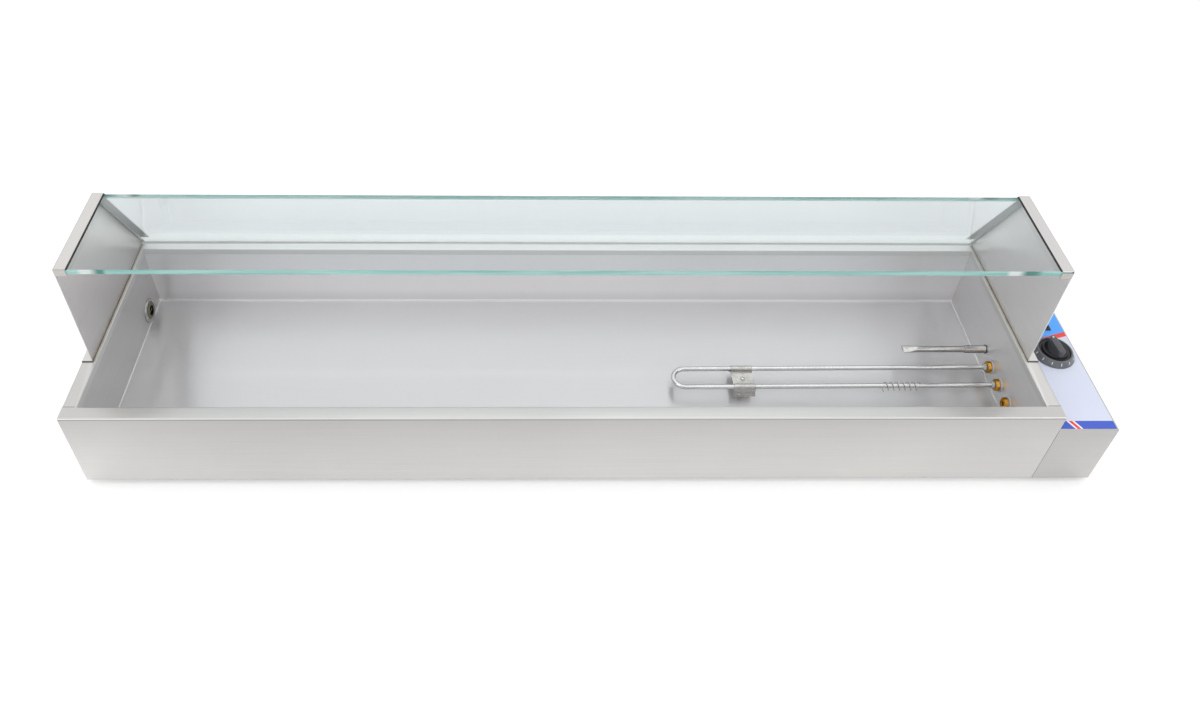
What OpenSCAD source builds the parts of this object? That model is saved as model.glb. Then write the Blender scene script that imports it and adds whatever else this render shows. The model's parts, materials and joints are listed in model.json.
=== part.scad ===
// Counter-top wet bain marie: steel well with a rail, glass guard, U element, drain and control box.
// Millimetres. The bench frame has x from the middle of the well body, y back from its front face and
// z up from the counter; seat() moves it to the middle of the whole footprint.

/* [Well body] */
// Length of the well body, left to right
body_length = 1370; // [900:10:1800]
// Depth of the well body, front to back
body_depth = 380; // [340:5:460]
// Height of the well body, from its underside to the rail
body_height = 140; // [115:5:200]
// Thickness of the casing and tank sheet
sheet = 1; // [0.8:0.1:1.5]
// Width of the front rail
front_rail = 21; // [18:1:30]
// Width of the rear rail, which carries the rear glass
rear_rail = 45; // [38:1:60]
// Width of the two end rails
end_rail = 20; // [18:1:28]
// Height of the lip that hangs from the rail into the well
rail_lip = 10; // [6:1:16]
// Bend radius at the middle of a folded sheet
bend_radius = 1.5; // [1.2:0.1:2.5]
// Height of the tank floor above the underside of the body
floor_height = 26; // [18:1:40]
// Height of the rubber feet below the body
foot_height = 8; // [5:1:20]
// Diameter of a rubber foot
foot_diameter = 32; // [24:1:40]
// Distance of the feet from the body's edges
foot_inset = 48; // [42:1:80]

/* [Glass guard] */
// Distance from the body's front face to the guard's front edge
guard_front = 102; // [60:1:150]
// Height of the guard above the rail
guard_height = 180; // [120:5:260]
// Depth of the guard's top
guard_top_depth = 158; // [100:1:190]
// Distance from the foot of the sloping rear edge to the body's back
guard_foot_inset = 18; // [14:1:24]
// Distance from the body's end to a guard panel's outer face
guard_inset = 14.5; // [12:0.5:16]
// Width of the guard panels' folded strips
strip_width = 17; // [14:1:24]
// Thickness of the guard panels' sheet
guard_sheet = 1.2; // [1:0.1:1.5]
// Thickness of both panes
glass = 8; // [6:1:10]

/* [Heating] */
// Diameter of the heating tube
element_diameter = 7; // [6:0.5:8]
// Distance between the ports in the right wall, and between the element's legs
port_pitch = 36; // [32:1:44]
// Distance from the body's front face to the front port
front_port = 96; // [80:1:120]
// Height of the element's axis above the tank floor
element_height = 26; // [24:1:34]
// Length of the element from the right wall to the outside of its bend
element_reach = 501; // [380:1:520]
// Diameter of the glands' thread
gland_thread = 12; // [11:0.5:14]
// Width across the flats of the glands' hexagon
gland_flats = 17; // [16:1:22]
// Outer diameter of the thermowell tube
thermowell_diameter = 9.5; // [9:0.5:12]
// Length of the thicker sleeve on the thermowell at the wall
thermowell_sleeve = 33; // [20:1:60]
// Length of the thermowell inside the tank
thermowell_reach = 131; // [100:1:180]
// Coils of the wire spring on the front leg
spring_turns = 6.5; // [4.5:1:9.5]
// Distance between the spring's coils
spring_pitch = 8.6; // [5:0.1:12]
// Diameter of the spring's wire
spring_wire = 1.4; // [1:0.1:1.8]

/* [Drain] */
// Distance from the well's rear edge to the drain's axis
drain_from_rear = 42; // [32:1:90]
// Height of the drain's axis above the tank floor
drain_height = 22; // [20:1:40]
// Outer diameter of the drain's flange ring
drain_flange = 35; // [32:1:40]
// Diameter of the drain's thread
drain_thread = 20.8; // [19:0.2:24]
// Diameter of the drain's water way
drain_bore = 14; // [10:0.5:15]

/* [Control box] */
// Length of the control box, left to right
control_length = 84; // [76:1:120]
// Height of the control box
control_height = 114; // [105:1:125]
// Distance from the body's front face to the knob's axis
knob_from_front = 140; // [80:1:160]
// Distance from the body's right end to the knob's axis
knob_from_body = 46; // [38:1:48]
// Outer diameter of the dial bezel
bezel_diameter = 60; // [56:1:66]
// Diameter of the knob's disc
knob_diameter = 44.4; // [40:0.2:46]
// Distance from the knob's axis to the switch's middle
switch_behind_knob = 60; // [55:1:80]
// Length of the switch's bezel along the box's short side
switch_length = 31; // [29:1:34]
// Width of the switch's bezel
switch_width = 25; // [23:1:28]
// Turn of the knob's pointer from straight back, in its off position
knob_off_turn = 6; // [0:1:20]
// Angle between the rocker's two positions
rocker_throw = 20; // [12:1:24]

/* [Hidden] */
$fn = 64;

// Small clearances
fit = 0.3;        // between pieces that are placed side by side
slip = 0.1;       // around a tube or thread in its hole
running = 0.05;   // around a turning shaft

// Small screws, all of one size
screw_r = 2;
screw_hole = screw_r + 2 * slip;

// Levels
base_z = foot_height;
rail_z = base_z + body_height;
floor_z = base_z + floor_height;
control_z = base_z + control_height;
guard_z = rail_z + guard_height;

// Outline of the body and of the well's opening
body_x = body_length / 2;
open_x = body_x - end_rail;
open_front = front_rail;
open_back = body_depth - rear_rail;
return_flange = 17;

// Tank: its walls stand outside the rail's lip, clear of the bend
lip_gap = bend_radius + 0.2;
tank_x = open_x + sheet + lip_gap;
tank_front = open_front - sheet - lip_gap;
tank_back = open_back + sheet + lip_gap;
tank_top = rail_z - sheet;
tank_bend = 4;

// Ports in the right wall
port_z = floor_z + element_height;
leg_front = front_port + port_pitch;
leg_back = front_port + 2 * port_pitch;
thermowell_behind = 32;
thermowell_above = 6;
thermowell_y = leg_back + thermowell_behind;
thermowell_z = port_z + thermowell_above;
washer_thick = 1.5;
washer_rim = 4;
gland_head = 7;
gland_shank = 9;
gland_nut_thick = 5;
window_margin = 16;

// Drain
drain_y = open_back - drain_from_rear;
drain_z = floor_z + drain_height;
drain_washer = 1.5;
drain_lip = 2.2;
lock_nut_thick = 6;
valve_reach = 66;
valve_x = -body_x - 36;
ball_r = drain_bore / 2 + 3.8;
stem_r = 3;
chamber_r = ball_r + 3.6;
bonnet_wall = 3.5;
bonnet_top = drain_z + chamber_r + 8;
lever_length = 46;
lever_thick = 2.5;
lever_half = 5;
lever_hub_r = 8;
lever_nut_flats = 10;
lever_nut_thick = 4;

// Guard: the sloping line of its rear edge
guard_x = body_x - guard_inset;
guard_back = guard_front + guard_top_depth;
guard_foot = body_depth - guard_foot_inset;
slope = atan2(guard_foot - guard_back, guard_height);
channel = 1;
pane_x = guard_x - guard_sheet - channel - 0.8;
pane_top = guard_z - guard_sheet;
pane_bottom = pane_top - glass;
foot_seal = 1.5;
rear_flange_z = rail_z + 20;

// Control box
control_gap = 0.5;
control_left = body_x + control_gap;
control_right = body_x + control_length;
knob_x = body_x + knob_from_body;
knob_y = knob_from_front;
overlay_thick = 0.4;
deck_z = control_z + overlay_thick;
bezel_web = 1.6;
bezel_height = 10;
bush_r = 5;
shaft_r = 3;
knob_bottom = deck_z + bezel_web + 0.5;
knob_disc_top = deck_z + 12;
knob_top = deck_z + 22;
thermostat_size = [38, 36, 28];
thermostat_stand = 9;
thermostat_z = control_z - sheet - thermostat_stand;
thermostat_screw_x = 14;
thermostat_shank = 6;
switch_x = knob_x;
switch_y = knob_y + switch_behind_knob;
switch_flange = 2;
switch_depth = 22;
rocker_r = 12.6;
rocker_half_width = 8.6;
rocker_below = 3;
rocker_valley = 4.8;
rocker_shoulder = 6.6;
rocker_pivot_z = control_z - 1.5;
gland_x = body_x + control_length / 2;
gland_z = base_z + 40;
cord_bore = 9.2;
cable_thread_r = 8;
cable_hex = 22;
cable_hex_thick = 5;
cable_inside = 12;
gland_outside = 16;

// The footprint's middle is the origin
left_reach = body_x + valve_reach;
right_reach = control_right;
back_reach = body_depth + gland_outside;
module seat() translate([(left_reach - right_reach) / 2, -back_reach / 2, 0]) children();

// Folded sheet: a polygon of one thickness along a bent path, with one bend radius or a list of them
function unit2(v) = v / norm(v);
function left2(v) = [-v.y, v.x];
function turn2(v, a) = [v.x * cos(a) - v.y * sin(a), v.x * sin(a) + v.y * cos(a)];
function bend_points(path, i, radius, offset_left, steps) =
    let (d1 = unit2(path[i] - path[i - 1]), d2 = unit2(path[i + 1] - path[i]))
    let (angle = atan2(d1.x * d2.y - d1.y * d2.x, d1 * d2), way = sign(angle))
    let (centre = path[i] - d1 * radius * tan(abs(angle) / 2) + left2(d1) * way * radius)
    [for (k = [0:steps]) centre - turn2(left2(d1), angle * k / steps) * (way * radius - offset_left)];
function radius_at(radius, i) = is_list(radius) ? radius[i - 1] : radius;
function fold_side(path, radius, offset_left, steps = 5) =
    let (last = len(path) - 1)
    concat([path[0] + left2(unit2(path[1] - path[0])) * offset_left],
        [for (i = [1:1:last - 1]) each bend_points(path, i, radius_at(radius, i), offset_left, steps)],
        [path[last] + left2(unit2(path[last] - path[last - 1])) * offset_left]);
function backwards(list) = [for (i = [len(list) - 1:-1:0]) list[i]];
module folded(path, thick, radius)
    polygon(concat(fold_side(path, radius, thick / 2), backwards(fold_side(path, radius, -thick / 2))));

// Extrusions that stand a drawing upright, along x from a (y, z) drawing or along y from an (x, z) one
module along_x(x0, x1) translate([x0, 0, 0]) rotate([90, 0, 90]) linear_extrude(x1 - x0) children();
module along_y(y0, y1) translate([0, y1, 0]) rotate([90, 0, 0]) linear_extrude(y1 - y0) children();
module rod_x(x0, x1, y, z, r) translate([x0, y, z]) rotate([0, 90, 0]) cylinder(h = x1 - x0, r = r);
module rod_y(y0, y1, x, z, r) translate([x, y0, z]) rotate([-90, 0, 0]) cylinder(h = y1 - y0, r = r);
module rod_z(z0, z1, x, y, r) translate([x, y, z0]) cylinder(h = z1 - z0, r = r);
module hex_x(x0, x1, y, z, flats)
    translate([x0, y, z]) rotate([0, 90, 0]) cylinder(h = x1 - x0, d = flats / cos(30), $fn = 6);
module block(low, high) translate(low) cube(high - low);

// Steel colours
module steel() color([0.78, 0.77, 0.76]) children();
module bright_steel() color([0.85, 0.85, 0.86]) children();
module brass() color([0.78, 0.6, 0.25]) children();
module black() color([0.06, 0.06, 0.07]) children();
module pale() color([0.86, 0.87, 0.88]) children();

// Tank: one folded sheet for the floor and long walls, with a flat plate welded in at each end
function tank_path() = [[tank_front - sheet / 2, tank_top], [tank_front - sheet / 2, floor_z - sheet / 2],
    [tank_back + sheet / 2, floor_z - sheet / 2], [tank_back + sheet / 2, tank_top]];
module tank_end() polygon(fold_side(tank_path(), tank_bend, -sheet / 2));
module ports() {
    for (y = [front_port, leg_front, leg_back])
        rod_x(tank_x - 1, tank_x + sheet + 1, y, port_z, gland_thread / 2 + slip);
    rod_x(tank_x - 1, tank_x + sheet + 1, thermowell_y, thermowell_z, thermowell_diameter / 2 + slip);
}
module well_tank() steel() along_x(-tank_x, tank_x) folded(tank_path(), sheet, tank_bend);
module right_tank_end() steel() difference() {
    along_x(tank_x, tank_x + sheet) tank_end();
    ports();
}
module left_tank_end() steel() difference() {
    along_x(-tank_x - sheet, -tank_x) tank_end();
    rod_x(-tank_x - sheet - 1, -tank_x + 1, drain_y, drain_z, drain_thread / 2 + slip);
}

// Front and rear panels: bottom return, face and rail; the lip runs along the well's opening only
module rail_panel(rail) {
    lipped = [[return_flange, base_z + sheet / 2], [sheet / 2, base_z + sheet / 2],
        [sheet / 2, rail_z - sheet / 2], [rail - sheet / 2, rail_z - sheet / 2],
        [rail - sheet / 2, rail_z - rail_lip]];
    plain = [for (i = [0:2]) lipped[i]];
    along_x(-open_x, open_x) folded(lipped, sheet, bend_radius);
    for (end = [[-body_x, -open_x], [open_x, body_x]])
        along_x(end[0], end[1]) folded(concat(plain, [[rail, rail_z - sheet / 2]]), sheet, bend_radius);
}
module front_panel() steel() rail_panel(front_rail);
module rear_panel() steel() translate([0, body_depth, 0]) mirror([0, 1, 0]) rail_panel(rear_rail);

// End panels: they stand between the front and rear panels, under the corners of those rails
module end_panel() {
    railed = [[body_x - return_flange, base_z + sheet / 2], [body_x - sheet / 2, base_z + sheet / 2],
        [body_x - sheet / 2, rail_z - sheet / 2], [open_x + sheet / 2, rail_z - sheet / 2],
        [open_x + sheet / 2, rail_z - rail_lip]];
    along_y(open_front, open_back) folded(railed, sheet, bend_radius);
    for (corner = [[sheet, open_front], [body_depth - sheet, open_back]])
        along_x(body_x - sheet, body_x) corner_plate(corner[0], corner[1]);
}
// Plate that closes a corner against the inside of a front or rear panel and its two bends
module corner_plate(face, inner) {
    bend = bend_radius - sheet / 2;
    past = face + sign(inner - face) * bend;
    low = base_z + sheet;
    high = rail_z - sheet;
    polygon([[face, low + bend], [past, low], [inner, low], [inner, high], [past, high], [face, high - bend]]);
}
module left_end_panel() steel() difference() {
    mirror([1, 0, 0]) end_panel();
    guard_screw_holes();
    rod_x(-body_x - 1, -body_x + sheet + 1, drain_y, drain_z, drain_thread / 2 + slip);
}
module right_end_panel() steel() difference() {
    end_panel();
    guard_screw_holes();
    service_window();
    control_screw_holes();
}
// Window between the tank's right wall and the control box, round the ports
module service_window() block(
    [body_x - sheet - 1, front_port - window_margin, port_z - window_margin],
    [body_x + 1, thermowell_y + window_margin, thermowell_z + window_margin]);

module base_plate() steel() difference() {
    block([-body_x + sheet + bend_radius, sheet + bend_radius, base_z + sheet],
        [body_x - sheet - bend_radius, body_depth - sheet - bend_radius, base_z + 2 * sheet]);
    at_feet() cylinder(h = 3 * (base_z + sheet), r = screw_hole, center = true);
}
module at_feet()
    for (x = [-body_x + foot_inset, body_x - foot_inset], y = [foot_inset, body_depth - foot_inset])
        translate([x, y, 0]) children();
// Feet: moulded rubber buffers with a recess for the screw's head
foot_recess = 4;
foot_recess_r = 6;
foot_shank = 6;
module rubber_feet() black() at_feet() rotate_extrude() polygon([
    [screw_hole, foot_recess], [foot_recess_r, foot_recess], [foot_recess_r, 0], [foot_diameter / 2 - 3, 0],
    [foot_diameter / 2 - 1.5, 0.5], [foot_diameter / 2, base_z + sheet], [screw_hole, base_z + sheet]]);
module foot_screws() bright_steel() at_feet() {
    translate([0, 0, foot_recess]) rotate([180, 0, 0]) pan_head();
    translate([0, 0, foot_recess]) cylinder(h = base_z + 2 * sheet + foot_shank - foot_recess, r = screw_r);
}

// Guard panels: outward base flange, upright sheet, inward top strip and inward rear strip
function slope_y(z) = guard_back + (guard_z - z) * tan(slope);
function behind_slope(z, depth) = slope_y(z) - depth / cos(slope);
module guard_panel() difference() {
    union() {
        difference() {
            along_y(guard_front, guard_foot) folded([[body_x - fit, rail_z + guard_sheet / 2],
                [guard_x - guard_sheet / 2, rail_z + guard_sheet / 2],
                [guard_x - guard_sheet / 2, guard_z - guard_sheet / 2],
                [guard_x - strip_width, guard_z - guard_sheet / 2]], guard_sheet, bend_radius);
            along_x(guard_x - strip_width - 1, body_x + 1) polygon([[slope_y(rail_z - 9), rail_z - 9],
                [slope_y(guard_z + 9), guard_z + 9], [guard_foot + 99, guard_z + 9],
                [guard_foot + 99, rail_z - 9]]);
        }
        along_x(guard_x - strip_width, guard_x - guard_sheet / 2) slope_strip(rear_flange_z,
            guard_z - guard_sheet / 2, 0, guard_sheet);
    }
    guard_screw_holes();
}
// A strip parallel to the sloping edge, between two levels and two depths in front of it
module slope_strip(z0, z1, near, far) polygon([[behind_slope(z0, far), z0], [behind_slope(z0, near), z0],
    [behind_slope(z1, near), z1], [behind_slope(z1, far), z1]]);
module left_guard_panel() steel() mirror([1, 0, 0]) guard_panel();
module right_guard_panel() steel() guard_panel();

// Glass ledges: an angle under each end of the top glass, with a stop at its front
ledge_width = 15;
ledge_drop = 4;
stop_left_height = 9;
stop_right_height = 5;
rear_pane_back = guard_sheet + fit;
rear_pane_front = rear_pane_back + glass;
module glass_ledge(stop_height) {
    inner = guard_x - guard_sheet;
    along_y(guard_front, guard_back - glass) polygon([[inner, pane_bottom - channel],
        [inner, pane_top - 3], [inner - channel, pane_top - 3], [inner - channel, pane_bottom],
        [inner - ledge_width, pane_bottom], [inner - ledge_width, pane_bottom - channel]]);
    block([guard_x - strip_width, guard_front - channel, pane_bottom - ledge_drop],
        [inner, guard_front, pane_bottom - ledge_drop + stop_height]);
}
module left_glass_ledge() steel() mirror([1, 0, 0]) glass_ledge(stop_left_height);
module right_glass_ledge() steel() glass_ledge(stop_right_height);

module top_glass() color([0.75, 0.92, 0.88, 0.35])
    block([-pane_x, guard_front + 0.2, pane_bottom], [pane_x, guard_back - 1.5, pane_top]);
module rear_glass() color([0.75, 0.92, 0.88, 0.35]) along_x(-pane_x, pane_x)
    slope_strip(rail_z + foot_seal, pane_bottom - fit, rear_pane_back, rear_pane_front);
// Black beads along the strips' inner edges, on the top glass
module glass_seals() black() for (way = [-1, 1]) {
    edge = guard_x - strip_width;
    bead = 2.4;
    along_y(guard_front + 0.2, guard_back - 1.5) polygon([[way * edge, pane_top],
        [way * (edge - bead), pane_top], [way * (edge - bead / 2), pane_top + 0.9],
        [way * edge, pane_top + guard_sheet]]);
}
module glass_foot_seal() color([0.5, 0.52, 0.53]) along_x(-pane_x, pane_x) polygon([
    [behind_slope(rail_z, rear_pane_front + 2), rail_z], [behind_slope(rail_z, rear_pane_back - 2), rail_z],
    [behind_slope(rail_z + foot_seal, rear_pane_back - 1), rail_z + foot_seal],
    [behind_slope(rail_z + foot_seal, rear_pane_front + 1), rail_z + foot_seal]]);

// Screws: a domed pan head above z = 0 and a plain nut round the shank
nut_flats = 7;
nut_thick = 3.2;
head_r = 3.5;
head_height = 2.3;
module pan_head() rotate_extrude() polygon([[0, 0], [head_r, 0], [head_r - 0.2, head_height - 0.8],
    [head_r - 1.5, head_height], [0, head_height]]);
module plain_nut() difference() {
    cylinder(h = nut_thick, d = nut_flats / cos(30), $fn = 6);
    translate([0, 0, -1]) cylinder(h = nut_thick + 2, r = screw_r - slip);
}

// Guard screws through the base flanges and the end rails
guard_shank = 9;
function guard_screw_rows() = [guard_front + 28, (guard_front + open_back) / 2, open_back - 24];
module at_guard_screws() for (way = [-1, 1], y = guard_screw_rows())
    translate([way * (body_x - guard_inset / 2), y, rail_z]) children();
module guard_screw_holes() at_guard_screws() cylinder(h = 12, r = screw_hole, center = true);
module guard_screws() bright_steel() at_guard_screws() {
    translate([0, 0, guard_sheet]) pan_head();
    translate([0, 0, -guard_shank]) cylinder(h = guard_shank + guard_sheet, r = screw_r);
    translate([0, 0, -sheet - nut_thick]) plain_nut();
}

// Element: two legs, a half-turn bend and bare pins at the cold ends
element_r = element_diameter / 2;
leg_mid = (leg_front + leg_back) / 2;
bend_x = tank_x - element_reach + element_r + port_pitch / 2;
cold_end = body_x + 7;
pin_end = cold_end + 14;
module heating_element() bright_steel() {
    for (y = [leg_front, leg_back]) rod_x(bend_x, cold_end, y, port_z, element_r);
    translate([bend_x, leg_mid, port_z]) rotate([0, 0, 90])
        rotate_extrude(angle = 180) translate([port_pitch / 2, 0]) circle(r = element_r);
}
insulator = 5;
element_pin_r = 1.4;
ferrule_length = 4;
ferrule_wall = 1.8;
module element_insulators() color([0.93, 0.92, 0.88]) for (y = [leg_front, leg_back])
    rod_x(cold_end, cold_end + insulator, y, port_z, element_r - 0.4);
module element_pins() bright_steel() for (y = [leg_front, leg_back])
    rod_x(cold_end + insulator, pin_end, y, port_z, element_pin_r);
gland_face = tank_x - washer_thick;
module element_ferrules() pale() for (y = [leg_front, leg_back]) difference() {
    rod_x(gland_face - gland_head - ferrule_length, gland_face - gland_head, y, port_z,
        element_r + ferrule_wall);
    rod_x(tank_x - 40, tank_x, y, port_z, element_r + slip);
}
module gland_blank(y) {
    intersection() {
        hex_x(gland_face - gland_head, gland_face, y, port_z, gland_flats);
        translate([gland_face - gland_head, y, port_z]) rotate([0, 90, 0])
            cylinder(h = gland_head, r1 = gland_flats / 2 + slip, r2 = gland_flats / 2 + slip + gland_head);
    }
    rod_x(gland_face, tank_x + sheet + gland_shank, y, port_z, gland_thread / 2);
}
module element_glands() brass() for (y = [leg_front, leg_back]) difference() {
    gland_blank(y);
    rod_x(tank_x - 40, tank_x + 40, y, port_z, element_r + slip);
}
plug_socket = 4;
plug_socket_r = 3.2;
module port_plug() brass() difference() {
    gland_blank(front_port);
    rod_x(gland_face - gland_head - 1, gland_face - gland_head + plug_socket, front_port, port_z,
        plug_socket_r);
}
module port_washers() pale() for (y = [front_port, leg_front, leg_back]) difference() {
    rod_x(gland_face, tank_x, y, port_z, gland_flats / 2 + washer_rim);
    rod_x(gland_face - 1, tank_x + 1, y, port_z, gland_thread / 2 + slip);
}
module gland_nuts() brass() for (y = [front_port, leg_front, leg_back]) difference() {
    hex_x(tank_x + sheet, tank_x + sheet + gland_nut_thick, y, port_z, gland_flats);
    rod_x(tank_x, tank_x + 20, y, port_z, gland_thread / 2 + slip);
}

// Bracket: a strap bent over both legs with a short flap and lip at each end, and a plate under the legs
bracket_from_bend = 89;
bracket_x = bend_x + bracket_from_bend;
bracket_length = 33;
bracket_sheet = 0.8;
bracket_flap = 12.4;
bracket_lip = 5;
saddle_r = element_r + slip + bracket_sheet / 2;
clamp_top = port_z - element_r - slip;
clamp_thick = 1.2;
clamp_setback = 3;
strap_z = clamp_top + slip + bracket_sheet / 2;
strap_bend = 1.2;
module bracket_hole() rod_z(floor_z, rail_z, bracket_x, leg_mid, screw_hole);
module bracket_strap() bright_steel() difference() {
    low = port_z - bracket_flap;
    high = port_z + saddle_r;
    along_x(bracket_x - bracket_length / 2, bracket_x + bracket_length / 2) folded([
        [leg_front - saddle_r - bracket_lip, low], [leg_front - saddle_r, low], [leg_front - saddle_r, high],
        [leg_front + saddle_r, high], [leg_front + saddle_r, strap_z], [leg_back - saddle_r, strap_z],
        [leg_back - saddle_r, high], [leg_back + saddle_r, high], [leg_back + saddle_r, low],
        [leg_back + saddle_r + bracket_lip, low]], bracket_sheet,
        [strap_bend, saddle_r, saddle_r, strap_bend, strap_bend, saddle_r, saddle_r, strap_bend]);
    bracket_hole();
}
module bracket_clamp() bright_steel() difference() {
    half = bracket_length / 2 - clamp_setback;
    block([bracket_x - half, leg_front - element_r + slip, clamp_top - clamp_thick],
        [bracket_x + half, leg_back + element_r - slip, clamp_top]);
    bracket_hole();
}
module bracket_screw() bright_steel() translate([bracket_x, leg_mid, strap_z + bracket_sheet / 2]) {
    grip = strap_z + bracket_sheet / 2 - clamp_top + clamp_thick;
    pan_head();
    translate([0, 0, -grip - nut_thick - 1.8]) cylinder(h = grip + nut_thick + 1.8, r = screw_r);
    translate([0, 0, -grip - nut_thick]) plain_nut();
}

// Spring: a wire helix that hangs loose on the front leg, with a straight tail at its left end
spring_inner = element_r + 2;
spring_r = spring_inner + spring_wire / 2;
spring_drop = spring_inner - element_r - fit;
spring_from_wall = 178;
spring_start = tank_x - spring_from_wall;
spring_rings = 8;
spring_sides = 6;
spring_tail = 6;
spring_count = round(spring_turns * spring_rings);
function spring_angle(i) = 270 + 360 * i / spring_rings;
function spring_out(i) = [0, cos(spring_angle(i)), sin(spring_angle(i))];
function spring_along(i) = unit3([spring_pitch / (2 * PI * spring_r), -sin(spring_angle(i)),
    cos(spring_angle(i))]);
function spring_point(i) = [spring_start + spring_pitch * i / spring_rings, leg_front, port_z - spring_drop]
    + spring_out(i) * spring_r;
spring_frames = concat([[spring_point(0) - spring_along(0) * spring_tail, spring_along(0), spring_out(0)]],
    [for (i = [0:spring_count]) [spring_point(i), spring_along(i), spring_out(i)]]);
function wire_ring(frame) = let (side = cross(frame[1], frame[2]))
    [for (k = [0:spring_sides - 1]) let (a = 360 * k / spring_sides)
        frame[0] + (frame[2] * cos(a) + side * sin(a)) * spring_wire / 2];
spring_gap = min([for (i = [1:spring_count], j = [i + spring_rings - 2:1:spring_count + 1])
    norm(spring_frames[i][0] - spring_frames[j][0])]) - spring_wire;
module element_spring() bright_steel() {
    rings = len(spring_frames);
    polyhedron(
        points = [for (frame = spring_frames) each wire_ring(frame)],
        faces = concat(
            [for (k = [1:spring_sides - 2]) [0, k, k + 1]],
            [for (k = [1:spring_sides - 2]) (rings - 1) * spring_sides * [1, 1, 1] + [0, k + 1, k]],
            [for (r = [0:rings - 2], k = [0:spring_sides - 1]) each wire_quad(r, k)]));
}
function wire_quad(r, k) = let (a = r * spring_sides + k, b = r * spring_sides + (k + 1) % spring_sides)
    [[a, a + spring_sides, b], [b, a + spring_sides, b + spring_sides]];

// Thermowell: a tube through the right wall with a sleeve at the wall, pinched flat at its inner end
pinch_length = 22;
pinch_width = 14;
thermowell_r = thermowell_diameter / 2;
thermowell_wall = 1.2;
sleeve_thick = 1.2;
weld_collar = 2;
pinch_thick = 3;
pinch_flat = 7;
thermowell_tip = tank_x - thermowell_reach;
thermowell_out = tank_x + sheet + 11;
module thermowell() bright_steel() difference() {
    union() {
        rod_x(thermowell_tip + pinch_length, thermowell_out, thermowell_y, thermowell_z, thermowell_r);
        rod_x(tank_x - thermowell_sleeve, tank_x, thermowell_y, thermowell_z, thermowell_r + sleeve_thick);
        rod_x(tank_x - weld_collar, tank_x, thermowell_y, thermowell_z, thermowell_r + weld_collar);
        hull() {
            rod_x(thermowell_tip + pinch_length - 0.5, thermowell_tip + pinch_length, thermowell_y,
                thermowell_z, thermowell_r, $fn = 32);
            block([thermowell_tip, thermowell_y - pinch_width / 2, thermowell_z - pinch_thick / 2],
                [thermowell_tip + pinch_flat, thermowell_y + pinch_width / 2, thermowell_z + pinch_thick / 2]);
        }
    }
    rod_x(thermowell_tip + pinch_length + 2, thermowell_out + 1, thermowell_y, thermowell_z,
        thermowell_r - thermowell_wall);
}
module thermowell_nut() brass() difference() {
    hex_x(tank_x + sheet, tank_x + sheet + gland_nut_thick, thermowell_y, thermowell_z,
        thermowell_diameter + 6);
    rod_x(tank_x, tank_x + 20, thermowell_y, thermowell_z, thermowell_r + slip);
}

// A round wire along square runs, with a quarter bend at each corner
function unit3(v) = v / norm(v);
function axes(x, y, o) = let (z = cross(x, y))
    [[x.x, y.x, z.x, o.x], [x.y, y.y, z.y, o.y], [x.z, y.z, z.z, o.z], [0, 0, 0, 1]];
module wire(points, r, bend) {
    last = len(points) - 2;
    for (i = [0:last]) {
        run = unit3(points[i + 1] - points[i]);
        from = points[i] + run * (i > 0 ? bend : 0);
        to = points[i + 1] - run * (i < last ? bend : 0);
        across = abs(run.z) > 0.5 ? [1, 0, 0] : [0, 0, 1];
        multmatrix(axes(across, cross(run, across), from)) cylinder(h = norm(to - from), r = r, $fn = 24);
    }
    for (i = [1:1:last]) {
        before = unit3(points[i] - points[i - 1]);
        after = unit3(points[i + 1] - points[i]);
        multmatrix(axes(-after, before, points[i] - before * bend + after * bend))
            rotate_extrude(angle = 90, $fn = 48) translate([bend, 0]) circle(r = r, $fn = 24);
    }
}
// Bulb lying on the bottom of the thermowell, with its capillary to the thermostat
bulb_r = 2.6;
bulb_z = thermowell_z - (thermowell_r - thermowell_wall - bulb_r - 0.2);
bulb_start = thermowell_tip + pinch_length + 6;
bulb_length = 80;
bulb_end = bulb_start + bulb_length;
capillary_r = 0.9;
capillary_x = body_x + 30;
module thermostat_bulb() color([0.72, 0.45, 0.3]) {
    rod_x(bulb_start, bulb_end, thermowell_y, bulb_z, bulb_r);
    wire([[bulb_end, thermowell_y, bulb_z], [capillary_x, thermowell_y, bulb_z],
        [capillary_x, thermowell_y, thermostat_z - thermostat_size.z + 5],
        [capillary_x, knob_y + thermostat_size.y / 2, thermostat_z - thermostat_size.z + 5]], capillary_r, 6);
}

// Drain: a flange ring welded on the wall, a brass spigot through both walls and a ball valve outside
module drain_flange_ring() bright_steel() {
    bore = drain_thread / 2 + drain_lip + 2 * slip;
    translate([-tank_x, drain_y, drain_z]) rotate([0, 90, 0])
        rotate_extrude() polygon([[bore, 0], [drain_flange / 2, 0], [drain_flange / 2, 1.6],
        [drain_flange / 2 - 1.4, 3], [bore, 3]]);
}
module drain_seals() black() {
    difference() {
        rod_x(-tank_x, -tank_x + 1, drain_y, drain_z, drain_thread / 2 + drain_lip);
        rod_x(-tank_x - 1, -tank_x + 2, drain_y, drain_z, drain_thread / 2 + slip);
    }
    difference() {
        rod_x(-body_x - drain_washer, -body_x, drain_y, drain_z, drain_thread / 2 + 5);
        rod_x(-body_x - 9, -body_x + 9, drain_y, drain_z, drain_thread / 2 + slip);
    }
}
spigot_end = -body_x - drain_washer - lock_nut_thick - 13;
module drain_spigot() brass() {
    difference() {
        union() {
            rod_x(spigot_end, -tank_x + 1, drain_y, drain_z, drain_thread / 2);
            rod_x(-tank_x + 1, -tank_x + 4, drain_y, drain_z, drain_thread / 2 + drain_lip);
        }
        rod_x(spigot_end - 1, -tank_x + 9, drain_y, drain_z, drain_bore / 2);
    }
    block([-tank_x + 1.5, drain_y - drain_bore / 2 - 0.5, drain_z - 1],
        [-tank_x + 3, drain_y + drain_bore / 2 + 0.5, drain_z + 1]);
}
nut_outer = -body_x - drain_washer;
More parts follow.
